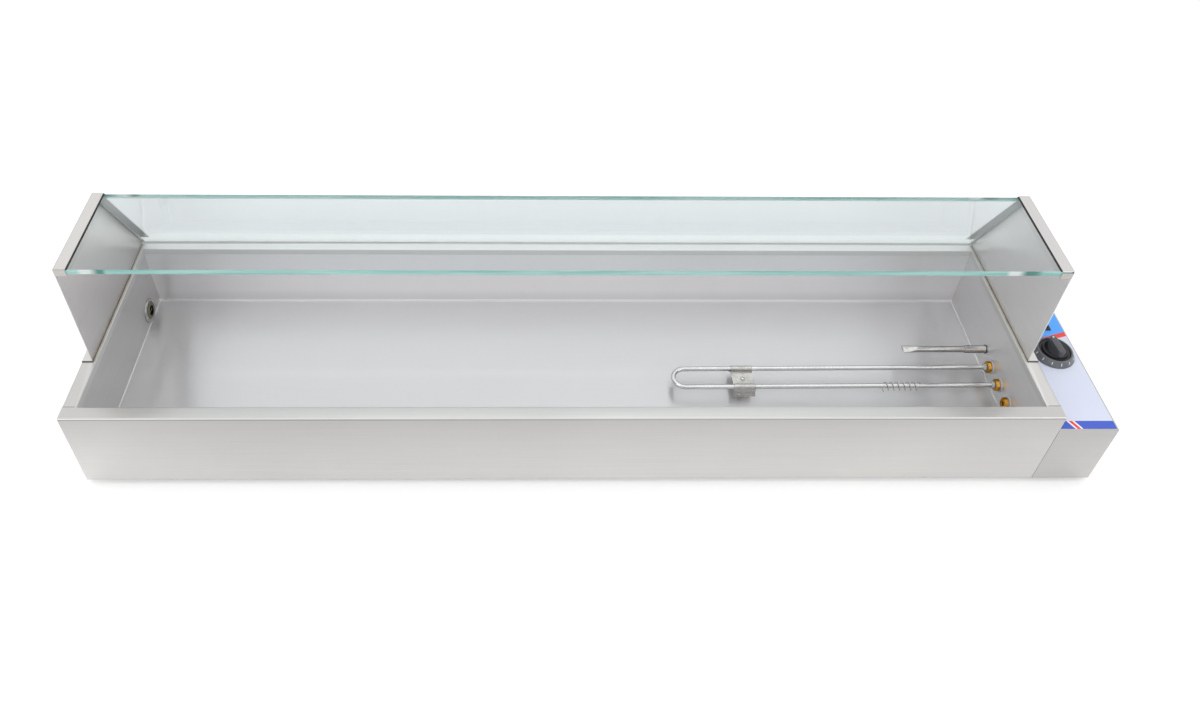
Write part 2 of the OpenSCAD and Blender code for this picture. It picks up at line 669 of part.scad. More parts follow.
module drain_lock_nut() brass() difference() {
    hex_x(nut_outer - lock_nut_thick, nut_outer, drain_y, drain_z, drain_thread + 8);
    rod_x(nut_outer - 20, nut_outer + 9, drain_y, drain_z, drain_thread / 2 + slip);
}
// Valve body: hexagon socket on the spigot, round chamber, threaded outlet and a bonnet for the stem
socket_x = nut_outer - lock_nut_thick - fit;
outlet_end = -body_x - valve_reach;
outlet_start = valve_x - chamber_r - 0.6;
module drain_valve_body() brass() difference() {
    union() {
        hex_x(valve_x + 8, socket_x, drain_y, drain_z, drain_thread + 6);
        rod_x(outlet_start, valve_x + chamber_r - 0.6, drain_y, drain_z, chamber_r);
        rod_x(outlet_end, outlet_start, drain_y, drain_z, drain_thread / 2);
        rod_z(drain_z, bonnet_top, valve_x, drain_y, stem_r + bonnet_wall);
    }
    rod_x(spigot_end - fit, socket_x + 1, drain_y, drain_z, drain_thread / 2 + slip);
    rod_x(outlet_end - 1, socket_x + 1, drain_y, drain_z, drain_bore / 2);
    translate([valve_x, drain_y, drain_z]) sphere(r = ball_r + fit);
    rod_z(drain_z, bonnet_top + 1, valve_x, drain_y, stem_r + running);
}
tongue = 2.4;
slot_depth = 2;
module drain_ball() bright_steel() difference() {
    translate([valve_x, drain_y, drain_z]) sphere(r = ball_r);
    rod_y(drain_y - ball_r - 1, drain_y + ball_r + 1, valve_x, drain_z, drain_bore / 2 - 1);
    block([valve_x - tongue / 2, drain_y - ball_r, drain_z + ball_r - slot_depth],
        [valve_x + tongue / 2, drain_y + ball_r, drain_z + ball_r + 1]);
}
module drain_stem() bright_steel() {
    rod_z(drain_z + ball_r + 2 * slip, lever_z + lever_thick + lever_nut_thick + 1, valve_x, drain_y, stem_r);
    block([valve_x - tongue / 2 + slip, drain_y - tongue, drain_z + ball_r - slot_depth + slip],
        [valve_x + tongue / 2 - slip, drain_y + tongue, drain_z + ball_r + 4 * slip]);
}
// Lever: a flat bar that lies along the wall when the valve is shut
lever_z = bonnet_top + fit;
module drain_lever() bright_steel() difference() {
    translate([0, 0, lever_z]) linear_extrude(lever_thick) union() {
        translate([valve_x, drain_y]) circle(r = lever_hub_r);
        lever_bar(lever_half, lever_length);
    }
    rod_z(lever_z - 1, lever_z + lever_thick + 1, valve_x, drain_y, stem_r + running);
}
// Drawing of the lever's bar from its round end towards the stem
module lever_bar(half, length) {
    translate([valve_x - half, drain_y - lever_length]) square([2 * half, length]);
    translate([valve_x, drain_y - lever_length]) circle(r = half);
}
sleeve_length = 28;
sleeve_wall = 1.4;
module lever_sleeve() black() difference() {
    translate([0, 0, lever_z - sleeve_wall]) linear_extrude(lever_thick + 2 * sleeve_wall)
        lever_bar(lever_half + sleeve_wall, sleeve_length);
    translate([0, 0, lever_z - slip]) linear_extrude(lever_thick + 2 * slip)
        lever_bar(lever_half + slip, lever_length);
}
module lever_nut() bright_steel() difference() {
    translate([valve_x, drain_y, lever_z + lever_thick]) cylinder(h = lever_nut_thick,
        d = lever_nut_flats / cos(30), $fn = 6);
    rod_z(lever_z, lever_z + lever_thick + 9, valve_x, drain_y, stem_r + running);
}

// Control box: a cover with its top and end folded from one sheet and its front and back welded on
function cover_path() = [[control_left, control_z - sheet / 2],
    [control_right - sheet / 2, control_z - sheet / 2],
    [control_right - sheet / 2, base_z]];
cover_flange = 15;
control_shank = 8;
module control_cover() steel() difference() {
    union() {
        along_y(0, body_depth) folded(cover_path(), sheet, bend_radius);
        for (y = [0, body_depth - sheet])
            along_y(y, y + sheet) polygon(concat(fold_side(cover_path(), bend_radius, sheet / 2),
                [[control_left, base_z]]));
        for (y = [[0, cover_flange], [body_depth - cover_flange, body_depth]])
            block([control_left, y[0], base_z], [control_left + sheet, y[1], control_z - sheet / 2]);
    }
    rod_z(control_z - 9, control_z + 9, knob_x, knob_y, bush_r + slip);
    at_thermostat_screws() cylinder(h = 20, r = screw_hole, center = true);
    switch_body(control_z - 9, control_z + 9, switch_edge);
    rod_y(body_depth - 9, body_depth + 9, gland_x, gland_z, cable_thread_r + slip);
    control_screw_holes();
}
module control_base() steel()
    block([control_left + sheet + fit, sheet + fit, base_z],
        [control_right - sheet - fit, body_depth - sheet - fit, base_z + sheet]);
module at_control_screws() for (y = [cover_flange / 2 + 1, body_depth - cover_flange / 2 - 1],
    z = [base_z + 24, control_z - 22]) translate([body_x, y, z]) rotate([0, 90, 0]) children();
module control_screw_holes() at_control_screws() cylinder(h = 12, r = screw_hole, center = true);
module control_screws() bright_steel() at_control_screws() {
    translate([0, 0, control_gap + sheet]) pan_head();
    translate([0, 0, -control_shank]) cylinder(h = control_shank + control_gap + sheet, r = screw_r);
}
// Printed film that covers the box's top
overlay_margin = 1.5;
module control_overlay() color([0.87, 0.89, 0.96]) difference() {
    block([control_left + overlay_margin, overlay_margin, control_z],
        [control_right - overlay_margin - bend_radius, body_depth - overlay_margin, deck_z]);
    rod_z(control_z - 1, deck_z + 1, knob_x, knob_y, bush_r + slip);
    at_thermostat_screws() cylinder(h = 20, r = screw_hole, center = true);
    switch_body(control_z - 9, control_z + 9, switch_edge);
}

// Dial: a sloping bezel ring on a thin web, and a knob with a raised grip
bezel_r = bezel_diameter / 2;
knob_r = knob_diameter / 2;
bezel_bore = knob_r + 0.6;
module at_thermostat_screws() for (way = [-1, 1])
    translate([knob_x + way * thermostat_screw_x, knob_y, control_z]) children();
module dial_bezel() color([0.3, 0.31, 0.33]) difference() {
    translate([knob_x, knob_y, deck_z]) rotate_extrude() polygon([[bush_r + slip, 0], [bezel_r, 0],
        [bezel_r, 1.4], [bezel_bore + 2.6, bezel_height - 0.6], [bezel_bore + 2, bezel_height],
        [bezel_bore, bezel_height], [bezel_bore, bezel_web], [bush_r + slip, bezel_web]]);
    at_thermostat_screws() cylinder(h = 20, r = screw_hole, center = true);
}
grip_width = 9;
grip_length = 38;
scoop = 5;
knob_rim = 2.4;
knob_hub_r = 7;
knob_hollow = 2.5;
module control_knob() black() translate([knob_x, knob_y, knob_bottom]) rotate([0, 0, knob_off_turn])
    difference() {
    disc = knob_disc_top - knob_bottom;
    union() {
        rotate_extrude() polygon([[0, 0], [knob_r, 0], [knob_r, disc - 0.8], [knob_r - 0.8, disc],
            [knob_r - knob_rim, disc - 0.3], [knob_r - knob_rim - 4, disc - scoop * 0.7],
            [knob_r - knob_rim - 9, disc - scoop], [0, disc - scoop]]);
        translate([0, 0, disc - scoop]) linear_extrude(knob_top - knob_disc_top + scoop) {
            square([grip_width, grip_length - grip_width], center = true);
            for (way = [-1, 1]) translate([0, way * (grip_length - grip_width) / 2]) circle(d = grip_width);
        }
    }
    translate([0, 0, -1]) rotate_extrude() polygon([[knob_hub_r, 0], [knob_r - 2, 0],
        [knob_r - 2, knob_hollow + 1], [knob_hub_r, knob_hollow + 1]]);
    translate([0, 0, -1]) cylinder(h = disc + 1, r = shaft_r + running);
}
module knob_shaft() bright_steel()
    rod_z(thermostat_z + 1, knob_disc_top - 0.5, knob_x, knob_y, shaft_r);
// Thermostat: body on a bracket under the box's top, with a bush through the top
module thermostat_body() color([0.55, 0.56, 0.58]) difference() {
    union() {
        translate([knob_x, knob_y, thermostat_z - thermostat_size.z / 2]) cube(thermostat_size, center = true);
        block([knob_x - thermostat_size.x / 2, knob_y - 8, thermostat_z],
            [knob_x + thermostat_size.x / 2, knob_y + 8, control_z - sheet]);
        rod_z(thermostat_z, deck_z + bezel_web, knob_x, knob_y, bush_r);
    }
    rod_z(thermostat_z, deck_z + 9, knob_x, knob_y, shaft_r + running);
    at_thermostat_screws() translate([0, 0, -sheet - thermostat_stand + 1])
        cylinder(h = thermostat_stand, r = screw_r + slip);
}
module thermostat_screws() bright_steel() at_thermostat_screws() {
    translate([0, 0, overlay_thick + bezel_web]) pan_head();
    translate([0, 0, -sheet - thermostat_shank])
        cylinder(h = sheet + thermostat_shank + overlay_thick + bezel_web, r = screw_r);
}

// Switch: housing with a pocket and a rocker on two stub pins
switch_edge = 1.4;
module switch_body(z0, z1, inset) block(
    [switch_x - switch_length / 2 + inset, switch_y - switch_width / 2 + inset, z0],
    [switch_x + switch_length / 2 - inset, switch_y + switch_width / 2 - inset, z1]);
pocket_x = rocker_r + fit;
pocket_y = rocker_half_width + fit;
pin_r = 1.5;
pin_length = 1.2;
module switch_housing() black() difference() {
    union() {
        switch_body(deck_z, deck_z + switch_flange, 0);
        switch_body(control_z - switch_depth, deck_z, switch_edge + slip);
    }
    block([switch_x - pocket_x, switch_y - pocket_y, rocker_pivot_z - 9],
        [switch_x + pocket_x, switch_y + pocket_y, deck_z + 9]);
    rod_y(switch_y - pocket_y - pin_length, switch_y + pocket_y + pin_length, switch_x, rocker_pivot_z,
        pin_r + running);
}
// Rocker: a slice of a drum with a shallow valley on top, drawn level and then tilted to its off side
module switch_rocker() black() translate([switch_x, switch_y, rocker_pivot_z])
    rotate([0, -rocker_throw / 2, 0]) {
        along_y(-rocker_half_width, rocker_half_width) intersection() {
            circle(r = rocker_r);
            polygon([[-rocker_r, -rocker_below], [rocker_r, -rocker_below], [rocker_r, rocker_shoulder],
                [0, rocker_valley], [-rocker_r, rocker_shoulder]]);
        }
        rod_y(-rocker_half_width - pin_length, rocker_half_width + pin_length, 0, 0, pin_r);
    }

// Terminal block on the box's floor, cable gland in its back and the wires between
terminal_size = [34, 22, 18];
terminal_from_rear = 86;
terminal_y = body_depth - terminal_from_rear;
module terminal_block() color([0.9, 0.89, 0.85])
    block([gland_x - terminal_size.x / 2, terminal_y, base_z + sheet],
        [gland_x + terminal_size.x / 2, terminal_y + terminal_size.y, base_z + sheet + terminal_size.z]);
module cable_cap() {
    tall = gland_outside - cable_hex_thick;
    wide = cable_hex / 2 - 1.5;
    rotate_extrude() polygon([[0, 0], [wide, 0], [wide, tall - 5], [wide - 1, tall - 2], [wide - 3, tall],
        [0, tall]]);
}
module cable_gland() black() difference() {
    union() {
        rod_y(body_depth - cable_inside, body_depth, gland_x, gland_z, cable_thread_r);
        translate([gland_x, body_depth, gland_z]) rotate([-90, 0, 0])
            cylinder(h = cable_hex_thick, d = cable_hex, $fn = 6);
        translate([gland_x, body_depth + cable_hex_thick, gland_z]) rotate([-90, 0, 0]) cable_cap();
    }
    rod_y(body_depth - 20, body_depth + gland_outside + 1, gland_x, gland_z, cord_bore / 2);
}
module cable_gland_nut() black() difference() {
    translate([gland_x, body_depth - sheet - cable_hex_thick, gland_z]) rotate([-90, 0, 0])
        cylinder(h = cable_hex_thick, d = cable_hex, $fn = 6);
    rod_y(body_depth - 20, body_depth, gland_x, gland_z, cable_thread_r + slip);
}
wire_r = 1.2;
wire_bend = 4;
block_top = base_z + sheet + terminal_size.z;
switch_bottom = control_z - switch_depth;
thermostat_bottom = thermostat_z - thermostat_size.z;
module control_wiring() color([0.2, 0.25, 0.6]) {
    wire([[pin_end, leg_front, port_z], [knob_x - 6, leg_front, port_z],
        [knob_x - 6, leg_front, thermostat_bottom]], wire_r, wire_bend);
    wire([[pin_end, leg_back, port_z], [pin_end + 12, leg_back, port_z], [pin_end + 12, leg_back, base_z + 10],
        [pin_end + 12, terminal_y, base_z + 10]], wire_r, wire_bend);
    for (side = [-6, 6]) wire([[switch_x + side, terminal_y + 11, block_top],
        [switch_x + side, terminal_y + 11, block_top + 34], [switch_x + side, switch_y + 3, block_top + 34],
        [switch_x + side, switch_y + 3, switch_bottom]], wire_r, wire_bend);
    wire([[knob_x - 10, knob_y + thermostat_size.y / 2, switch_bottom - 8],
        [knob_x - 10, switch_y - 7, switch_bottom - 8], [knob_x - 10, switch_y - 7, switch_bottom]],
        wire_r, wire_bend);
}

echo(spring_least_gap = spring_gap);
echo(row_shift = [(left_reach - right_reach) / 2, -back_reach / 2, 0]);
echo(knob_axis = [knob_x, knob_y, knob_bottom], rocker_axis = [switch_x, switch_y, rocker_pivot_z]);
echo(valve_axis = [valve_x, drain_y, drain_z], outlet = [outlet_end, outlet_start]);
echo(gland = [gland_x, body_depth, gland_z], feet = [body_x - foot_inset, foot_inset]);
echo(well = [open_x, open_front, open_back, floor_z, rail_z], pane = [pane_x, pane_bottom, guard_x]);

seat() well_tank();
seat() left_tank_end();
seat() right_tank_end();
seat() front_panel();
seat() rear_panel();
seat() left_end_panel();
seat() right_end_panel();
seat() base_plate();
seat() rubber_feet();
seat() foot_screws();
seat() left_guard_panel();
seat() right_guard_panel();
seat() left_glass_ledge();
seat() right_glass_ledge();
seat() top_glass();
seat() rear_glass();
seat() glass_seals();
seat() glass_foot_seal();
seat() guard_screws();
seat() heating_element();
seat() element_insulators();
seat() element_ferrules();
seat() element_glands();
seat() port_plug();
seat() port_washers();
seat() gland_nuts();
seat() element_pins();
seat() bracket_strap();
seat() bracket_clamp();
seat() bracket_screw();
seat() element_spring();
seat() thermowell();
seat() thermowell_nut();
seat() thermostat_bulb();
seat() drain_flange_ring();
seat() drain_seals();
seat() drain_spigot();
seat() drain_lock_nut();
seat() drain_valve_body();
seat() drain_ball();
seat() drain_stem();
seat() drain_lever();
seat() lever_sleeve();
seat() lever_nut();
seat() control_cover();
seat() control_base();
seat() control_overlay();
seat() control_screws();
seat() dial_bezel();
seat() control_knob();
seat() knob_shaft();
seat() thermostat_body();
seat() thermostat_screws();
seat() switch_housing();
seat() switch_rocker();
seat() terminal_block();
seat() cable_gland();
seat() cable_gland_nut();
seat() control_wiring();
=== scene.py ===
# %% [markdown]
# # A counter-top bain marie
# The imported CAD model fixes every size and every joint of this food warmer. Blender adds what CAD leaves out:
# soft edges, smooth tubes, threads, printed film, glass edges and the finish of each metal. Each step below
# makes one kind of piece and says why it is made that way.

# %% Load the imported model
import json
import math
import bmesh
import bpy
from mathutils import Matrix, Vector


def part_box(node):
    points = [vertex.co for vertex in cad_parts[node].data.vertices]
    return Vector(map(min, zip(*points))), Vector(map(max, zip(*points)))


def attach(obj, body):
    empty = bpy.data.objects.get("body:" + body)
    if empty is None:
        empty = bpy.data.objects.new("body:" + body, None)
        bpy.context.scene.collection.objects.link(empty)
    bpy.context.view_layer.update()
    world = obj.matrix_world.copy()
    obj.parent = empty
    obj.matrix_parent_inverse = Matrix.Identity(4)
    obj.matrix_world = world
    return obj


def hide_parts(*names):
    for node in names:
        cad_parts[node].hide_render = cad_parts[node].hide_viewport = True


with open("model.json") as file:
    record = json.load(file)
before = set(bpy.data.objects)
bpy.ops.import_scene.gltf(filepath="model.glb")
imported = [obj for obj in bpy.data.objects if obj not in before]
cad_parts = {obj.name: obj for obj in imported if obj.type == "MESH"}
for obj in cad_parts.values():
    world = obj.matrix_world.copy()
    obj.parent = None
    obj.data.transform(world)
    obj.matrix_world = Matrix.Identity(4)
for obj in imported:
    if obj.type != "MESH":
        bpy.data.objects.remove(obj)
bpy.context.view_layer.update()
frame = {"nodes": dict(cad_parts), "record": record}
nodes = frame["nodes"]
body_of_node = {n: b for b, names in frame["record"]["behaviour"]["bodies"].items() for n in names}
slot_of_node = {s["node"]: s["material_slot"] for s in frame["record"]["subparts"]}

# %% [markdown]
# ## A bench frame
# The drawing of the real object starts at the middle of the well body, at its front face and on the counter.
# The CAD model sits in the middle of its whole footprint instead. One small function turns bench millimetres
# into the shared frame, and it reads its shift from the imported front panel, so nothing has to be fitted.

# %% Bench millimetres to scene metres
MM = 0.001
panel_low, panel_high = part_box("front_panel")
BENCH = Vector(((panel_low.x + panel_high.x) / 2, panel_low.y, 0.0))


def at(x, y, z):
    """A point given in bench millimetres."""
    return BENCH + Vector((x, y, z)) * MM


def bench_box(node):
    """A CAD node's lowest and highest corners in bench millimetres."""
    return [(corner - BENCH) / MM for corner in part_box(node)]


print("bench origin", [round(v, 4) for v in BENCH])

# %% [markdown]
# ## Camera
# The photograph looks down at the warmer from the front, with the image's centre a little above the optical
# axis. The eight numbers below were solved from the straight edges of the body. A lens shift moves the frame
# without tilting the camera, so upright edges lean as they do in the picture.

# %% Place the camera
IMAGE = (1200, 727)
CAMERA_AT = at(-59.6, -827.7, 1209.1)
PITCH, ROLL, YAW = 0.738835, 0.022889, 0.030377
FOCAL_PIXELS = 979.96
OPTICAL_CENTRE = (546.02, 251.29)
SENSOR = 36.0


def camera_axes(pitch, roll, yaw):
    """Right, up and backward directions of a camera that looks along +Y when all three angles are zero."""
    forward = Vector((math.sin(yaw) * math.cos(pitch), math.cos(yaw) * math.cos(pitch), -math.sin(pitch)))
    level = Vector((math.cos(yaw), -math.sin(yaw), 0.0))
    upward = level.cross(forward)
    right = level * math.cos(roll) + upward * math.sin(roll)
    up = upward * math.cos(roll) - level * math.sin(roll)
    return right, up, -forward


camera_data = bpy.data.cameras.new("photo_camera")
camera_data.sensor_width = SENSOR
camera_data.lens = FOCAL_PIXELS / IMAGE[0] * SENSOR
camera_data.shift_x = (IMAGE[0] / 2 - OPTICAL_CENTRE[0]) / IMAGE[0]
camera_data.shift_y = (OPTICAL_CENTRE[1] - IMAGE[1] / 2) / IMAGE[0]
camera_data.clip_start, camera_data.clip_end = 0.05, 60.0
camera = bpy.data.objects.new("photo_camera", camera_data)
bpy.context.scene.collection.objects.link(camera)
camera.matrix_world = Matrix.Translation(CAMERA_AT) @ Matrix(camera_axes(PITCH, ROLL, YAW)).transposed().to_4x4()
bpy.context.scene.camera = camera
print("camera lens", round(camera_data.lens, 2), "shift", round(camera_data.shift_x, 4), round(camera_data.shift_y, 4))

# %% [markdown]
# ## Node trees in few words
# Light, finishes and repeated parts are all node trees. A tree is easiest to read when each node is written
# together with what feeds it. These helpers make a node, fill its inputs with numbers or with other nodes'
# sockets, and find the tree from a socket, so the cells below read from the first node to the last.


# %% Helpers for node trees
def colour(red, green, blue):
    return (red, green, blue, 1.0)


def feed(part, target):
    """Put a plain value or another node's socket into an input."""
    if isinstance(part, bpy.types.NodeSocket):
        target.id_data.links.new(part, target)
    else:
        target.default_value = part


def add_node(tree, kind, inputs=None, **settings):
    """A new node: its settings are made first, and then its inputs are fed."""
    node = tree.nodes.new(kind)
    for key, value in settings.items():
        setattr(node, key, value)
    for key, part in (inputs or {}).items():
        feed(part, node.inputs[key])
    return node


def math_node(operation, *parts):
    """A sum of numbers and sockets, in the tree of the first socket."""
    tree = next(part.id_data for part in parts if isinstance(part, bpy.types.NodeSocket))
    return add_node(tree, "ShaderNodeMath", dict(enumerate(parts)), operation=operation).outputs[0]


def range_node(value, low, high, at_low=0.0, at_high=1.0):
    """A clamped map range; all but the first can be numbers or sockets."""
    return add_node(value.id_data, "ShaderNodeMapRange", {
        "Value": value, "From Min": low, "From Max": high, "To Min": at_low, "To Max": at_high}).outputs["Result"]


def mix_colour(share, one, two):
    return add_node(share.id_data, "ShaderNodeMix", {0: share, 6: one, 7: two}, data_type="RGBA").outputs[2]


def split_xyz(vector):
    return add_node(vector.id_data, "ShaderNodeSeparateXYZ", {"Vector": vector}).outputs


def bare_material(name, metallic=0.0, **plain):
    """A material with one Principled shader; plain values go straight on its sockets."""
    material = bpy.data.materials.new(name)
    material.use_nodes = True
    shader = material.node_tree.nodes["Principled BSDF"]
    shader.inputs["Metallic"].default_value = metallic
    for key, value in plain.items():
        shader.inputs[key.replace("_", " ")].default_value = value
    return material, material.node_tree, shader


# %% [markdown]
# ## Floor and light
# A product photograph on white uses one pale sweep and very large soft lights. The world is white to the
# camera. In reflections it is a little dimmer and falls off towards the horizon, as the walls of a studio do,
# so folds and tubes have something to show. Three wide area lamps add direction: one overhead and two in front.

# %% Make the world
scene = bpy.context.scene
scene.view_settings.view_transform = "Standard"
WHITE = colour(1.0, 1.0, 1.0)
WORLD_LIGHT, WORLD_GLOSS, WORLD_EDGE, WORLD_SEEN = 0.95, 0.85, 0.35, 1.0
EDGE_LOW, EDGE_HIGH = 0.05, 0.45

world = bpy.data.worlds.new("white_studio")
scene.world = world
world.use_nodes = True
sky = world.node_tree
sky.nodes.clear()
path = add_node(sky, "ShaderNodeLightPath").outputs
sky_z = split_xyz(add_node(sky, "ShaderNodeTexCoord").outputs["Generated"])["Z"]
gloss = range_node(sky_z, EDGE_LOW, EDGE_HIGH, WORLD_EDGE, WORLD_GLOSS)
seen = math_node("MAXIMUM", path["Is Camera Ray"], path["Is Transmission Ray"])
seen_gain = math_node("MULTIPLY", seen, WORLD_SEEN - WORLD_LIGHT)
gloss_gain = math_node("MULTIPLY", path["Is Glossy Ray"], math_node("SUBTRACT", gloss, WORLD_LIGHT))
strength = math_node("ADD", math_node("ADD", seen_gain, gloss_gain), WORLD_LIGHT)
background = add_node(sky, "ShaderNodeBackground", {"Color": WHITE, "Strength": strength})
add_node(sky, "ShaderNodeOutputWorld", {"Surface": background.outputs["Background"]})

# %% Set up the lamps and the floor
LAMP_TARGET = Vector((0.0, 0.0, 0.1))
for name, spot, size, watts in (("overhead_box", (0.0, 0.4, 2.6), 3.0, 14.0),
                                ("front_left_box", (-2.6, -1.9, 1.7), 1.8, 14.0),
                                ("front_right_box", (2.6, -1.9, 1.7), 1.8, 11.0)):
    soft_box = bpy.data.lights.new(name, "AREA")
    soft_box.shape = "SQUARE"
    soft_box.size, soft_box.energy = size, watts
    lamp = bpy.data.objects.new(name, soft_box)
    scene.collection.objects.link(lamp)
    aim = (LAMP_TARGET - Vector(spot)).to_track_quat("-Z", "Y")
    lamp.matrix_world = Matrix.Translation(spot) @ aim.to_matrix().to_4x4()

FLOOR_HALF, FLOOR_GLOW = 9.0, 0.14
floor_mesh = bpy.data.meshes.new("pale_floor")
floor_mesh.from_pydata([(x * FLOOR_HALF, y * FLOOR_HALF, 0) for x, y in ((-1, -1), (1, -1), (1, 1), (-1, 1))],
                       [], [(0, 1, 2, 3)])
floor = bpy.data.objects.new("pale_floor", floor_mesh)
scene.collection.objects.link(floor)
floor_paint, floor_tree, floor_shader = bare_material(
    "pale_floor", Base_Color=colour(0.95, 0.95, 0.95), Roughness=0.9, Specular_IOR_Level=0.0, Emission_Color=WHITE)
floor_seen = add_node(floor_tree, "ShaderNodeLightPath").outputs["Is Camera Ray"]
feed(math_node("MULTIPLY", floor_seen, FLOOR_GLOW), floor_shader.inputs["Emission Strength"])
floor_mesh.materials.append(floor_paint)

# %% [markdown]
# ## Shared finishes as node groups
# Most of the object is sheet steel with a fine drawn grain. A group holds the recipe once: a noise stretched
# along the grain gives streaks, and a slow cloud gives the uneven tone of real sheet. The group also paints light
# and shade into the colour: a gain by height, a gain on level tops and on what faces down, and a painted highlight
# line and a painted shade line at a fold. Each material places the group with its own colours, direction and depth.
# The shader itself stays in the material.


# %% A helper for groups
def node_group(name, kind, inputs, outputs):
    """A tree with named sockets, with the sockets of its group input and of its group output."""
    tree = bpy.data.node_groups.new(name, kind)
    for label, sort, value in inputs:
        made = tree.interface.new_socket(label, in_out="INPUT", socket_type="NodeSocket" + sort)
        if value is not None:
            made.default_value = value
    for label, sort in outputs:
        tree.interface.new_socket(label, in_out="OUTPUT", socket_type="NodeSocket" + sort)
    return tree, tree.nodes.new("NodeGroupInput").outputs, tree.nodes.new("NodeGroupOutput").inputs


def finish_group(name, dark, light, *inputs):
    """A group that puts out a colour, a roughness and a normal."""
    return node_group(name, "ShaderNodeTree", (("Dark", "Color", colour(*dark)), ("Light", "Color", colour(*light)),
                                               *inputs),
                      (("Color", "Color"), ("Roughness", "Float"), ("Normal", "Vector")))


# %% The drawn-steel group
CLOUD_SHARE, STREAK_DEPTH = 0.55, 0.0004
steel_grain, grain_in, grain_out = finish_group(
    "Drawn steel", (0.5, 0.5, 0.5), (0.6, 0.6, 0.6), ("Stretch", "Vector", (20.0, 900.0, 900.0)),
    *((label, "Float", value) for label, value in (
        ("Cloud Scale", 5.0), ("Smooth", 0.25), ("Rough", 0.4), ("Depth", 0.08), ("Low", 0.0), ("High", 0.3),
        ("Low Painted Light", 1.0), ("High Painted Light", 1.0), ("Top Painted Light", 1.0), ("Under Painted Light", 1.0), ("Line Height", -1.0),
        ("Painted Highlight Line", 0.0), ("Painted Shade Line", 0.0))))
place = add_node(steel_grain, "ShaderNodeTexCoord").outputs["Object"]
drawn = add_node(steel_grain, "ShaderNodeMapping", {"Vector": place, "Scale": grain_in["Stretch"]}).outputs["Vector"]
streak = add_node(steel_grain, "ShaderNodeTexNoise", {
    "Vector": drawn, "Scale": 1.0, "Detail": 5.0, "Roughness": 0.7}).outputs["Fac"]
cloud = add_node(steel_grain, "ShaderNodeTexNoise", {
    "Vector": place, "Scale": grain_in["Cloud Scale"], "Detail": 3.0}).outputs["Fac"]
blend = add_node(steel_grain, "ShaderNodeMix", {0: CLOUD_SHARE, 2: streak, 3: cloud})
uneven = range_node(blend.outputs[0], 0.32, 0.68)
# Painted light and shade: the colour gets a gain by height, a gain on level tops and a gain on what faces down.
height = split_xyz(place)["Z"]
facing = add_node(steel_grain, "ShaderNodeNewGeometry").outputs
painted_top_mask = range_node(split_xyz(facing["True Normal"])["Z"], 0.6, 0.95)
painted_under_gain = range_node(split_xyz(facing["Normal"])["Z"], -0.4, 0.1, grain_in["Under Painted Light"], 1.0)
painted_height_gain = range_node(height, grain_in["Low"], grain_in["High"], grain_in["Low Painted Light"], grain_in["High Painted Light"])
gain = add_node(steel_grain, "ShaderNodeMix", {0: painted_top_mask, 2: painted_height_gain, 3: grain_in["Top Painted Light"]}).outputs[0]
from_line = math_node("MULTIPLY", math_node("SUBTRACT", height, grain_in["Line Height"]), 1000.0)


def painted_line_mask(centre, half, share):
    """A soft painted line round a level in millimetres, as a share of a painted light gain."""
    off = math_node("ABSOLUTE", math_node("SUBTRACT", from_line, centre))
    return math_node("MULTIPLY", range_node(off, half * 0.6, half * 1.2, 1.0, 0.0), share)


# A painted highlight line just beneath a fold's level and a painted shade line lower down, kept off level tops.
painted_fold_lines = math_node("SUBTRACT", painted_line_mask(-0.5, 1.0, grain_in["Painted Highlight Line"]),
                  painted_line_mask(-2.4, 0.9, grain_in["Painted Shade Line"]))
painted_fold_lines = math_node("ADD", math_node("MULTIPLY", painted_fold_lines, math_node("SUBTRACT", 1.0, painted_top_mask)), 1.0)
shade = add_node(steel_grain, "ShaderNodeVectorMath", {
    0: mix_colour(uneven, grain_in["Dark"], grain_in["Light"]),
    "Scale": math_node("MULTIPLY", math_node("MULTIPLY", gain, painted_under_gain), painted_fold_lines)}, operation="SCALE")
grain = add_node(steel_grain, "ShaderNodeBump", {
    "Height": streak, "Strength": grain_in["Depth"], "Distance": STREAK_DEPTH})
feed(shade.outputs["Vector"], grain_out["Color"])
feed(range_node(uneven, 0.0, 1.0, grain_in["Rough"], grain_in["Smooth"]), grain_out["Roughness"])
feed(grain.outputs["Normal"], grain_out["Normal"])
print("group:", steel_grain.name)

# %% The moulded-grain group
MOULD_DEPTH = 0.0003
moulded, mould_in, mould_out = finish_group(
    "Moulded grain", (0.02, 0.02, 0.022), (0.05, 0.05, 0.055), ("Grain Scale", "Float", 1500.0),
    ("Smooth", "Float", 0.4), ("Rough", "Float", 0.6), ("Depth", "Float", 0.15))
place = add_node(moulded, "ShaderNodeTexCoord").outputs["Object"]
fine = add_node(moulded, "ShaderNodeTexNoise", {"Vector": place, "Scale": mould_in["Grain Scale"], "Detail": 2.0})
slow = add_node(moulded, "ShaderNodeTexNoise", {"Vector": place, "Scale": 45.0, "Detail": 4.0})
uneven = range_node(slow.outputs["Fac"], 0.3, 0.7)
grain = add_node(moulded, "ShaderNodeBump", {
    "Height": fine.outputs["Fac"], "Strength": mould_in["Depth"], "Distance": MOULD_DEPTH})
feed(mix_colour(uneven, mould_in["Dark"], mould_in["Light"]), mould_out["Color"])
feed(range_node(uneven, 0.0, 1.0, mould_in["Smooth"], mould_in["Rough"]), mould_out["Roughness"])
feed(grain.outputs["Normal"], mould_out["Normal"])
print("group:", moulded.name)


# %% Materials that place a group
def finish(name, group, metallic, values, **plain):
    """A material whose colour, roughness and normal come from a finish group."""
    material, tree, shader = bare_material(name, metallic, **plain)
    recipe = add_node(tree, "ShaderNodeGroup", values, node_tree=group).outputs
    for key, target in (("Color", "Base Color"), ("Roughness", "Roughness"), ("Normal", "Normal")):
        feed(recipe[key], shader.inputs[target])
    return material


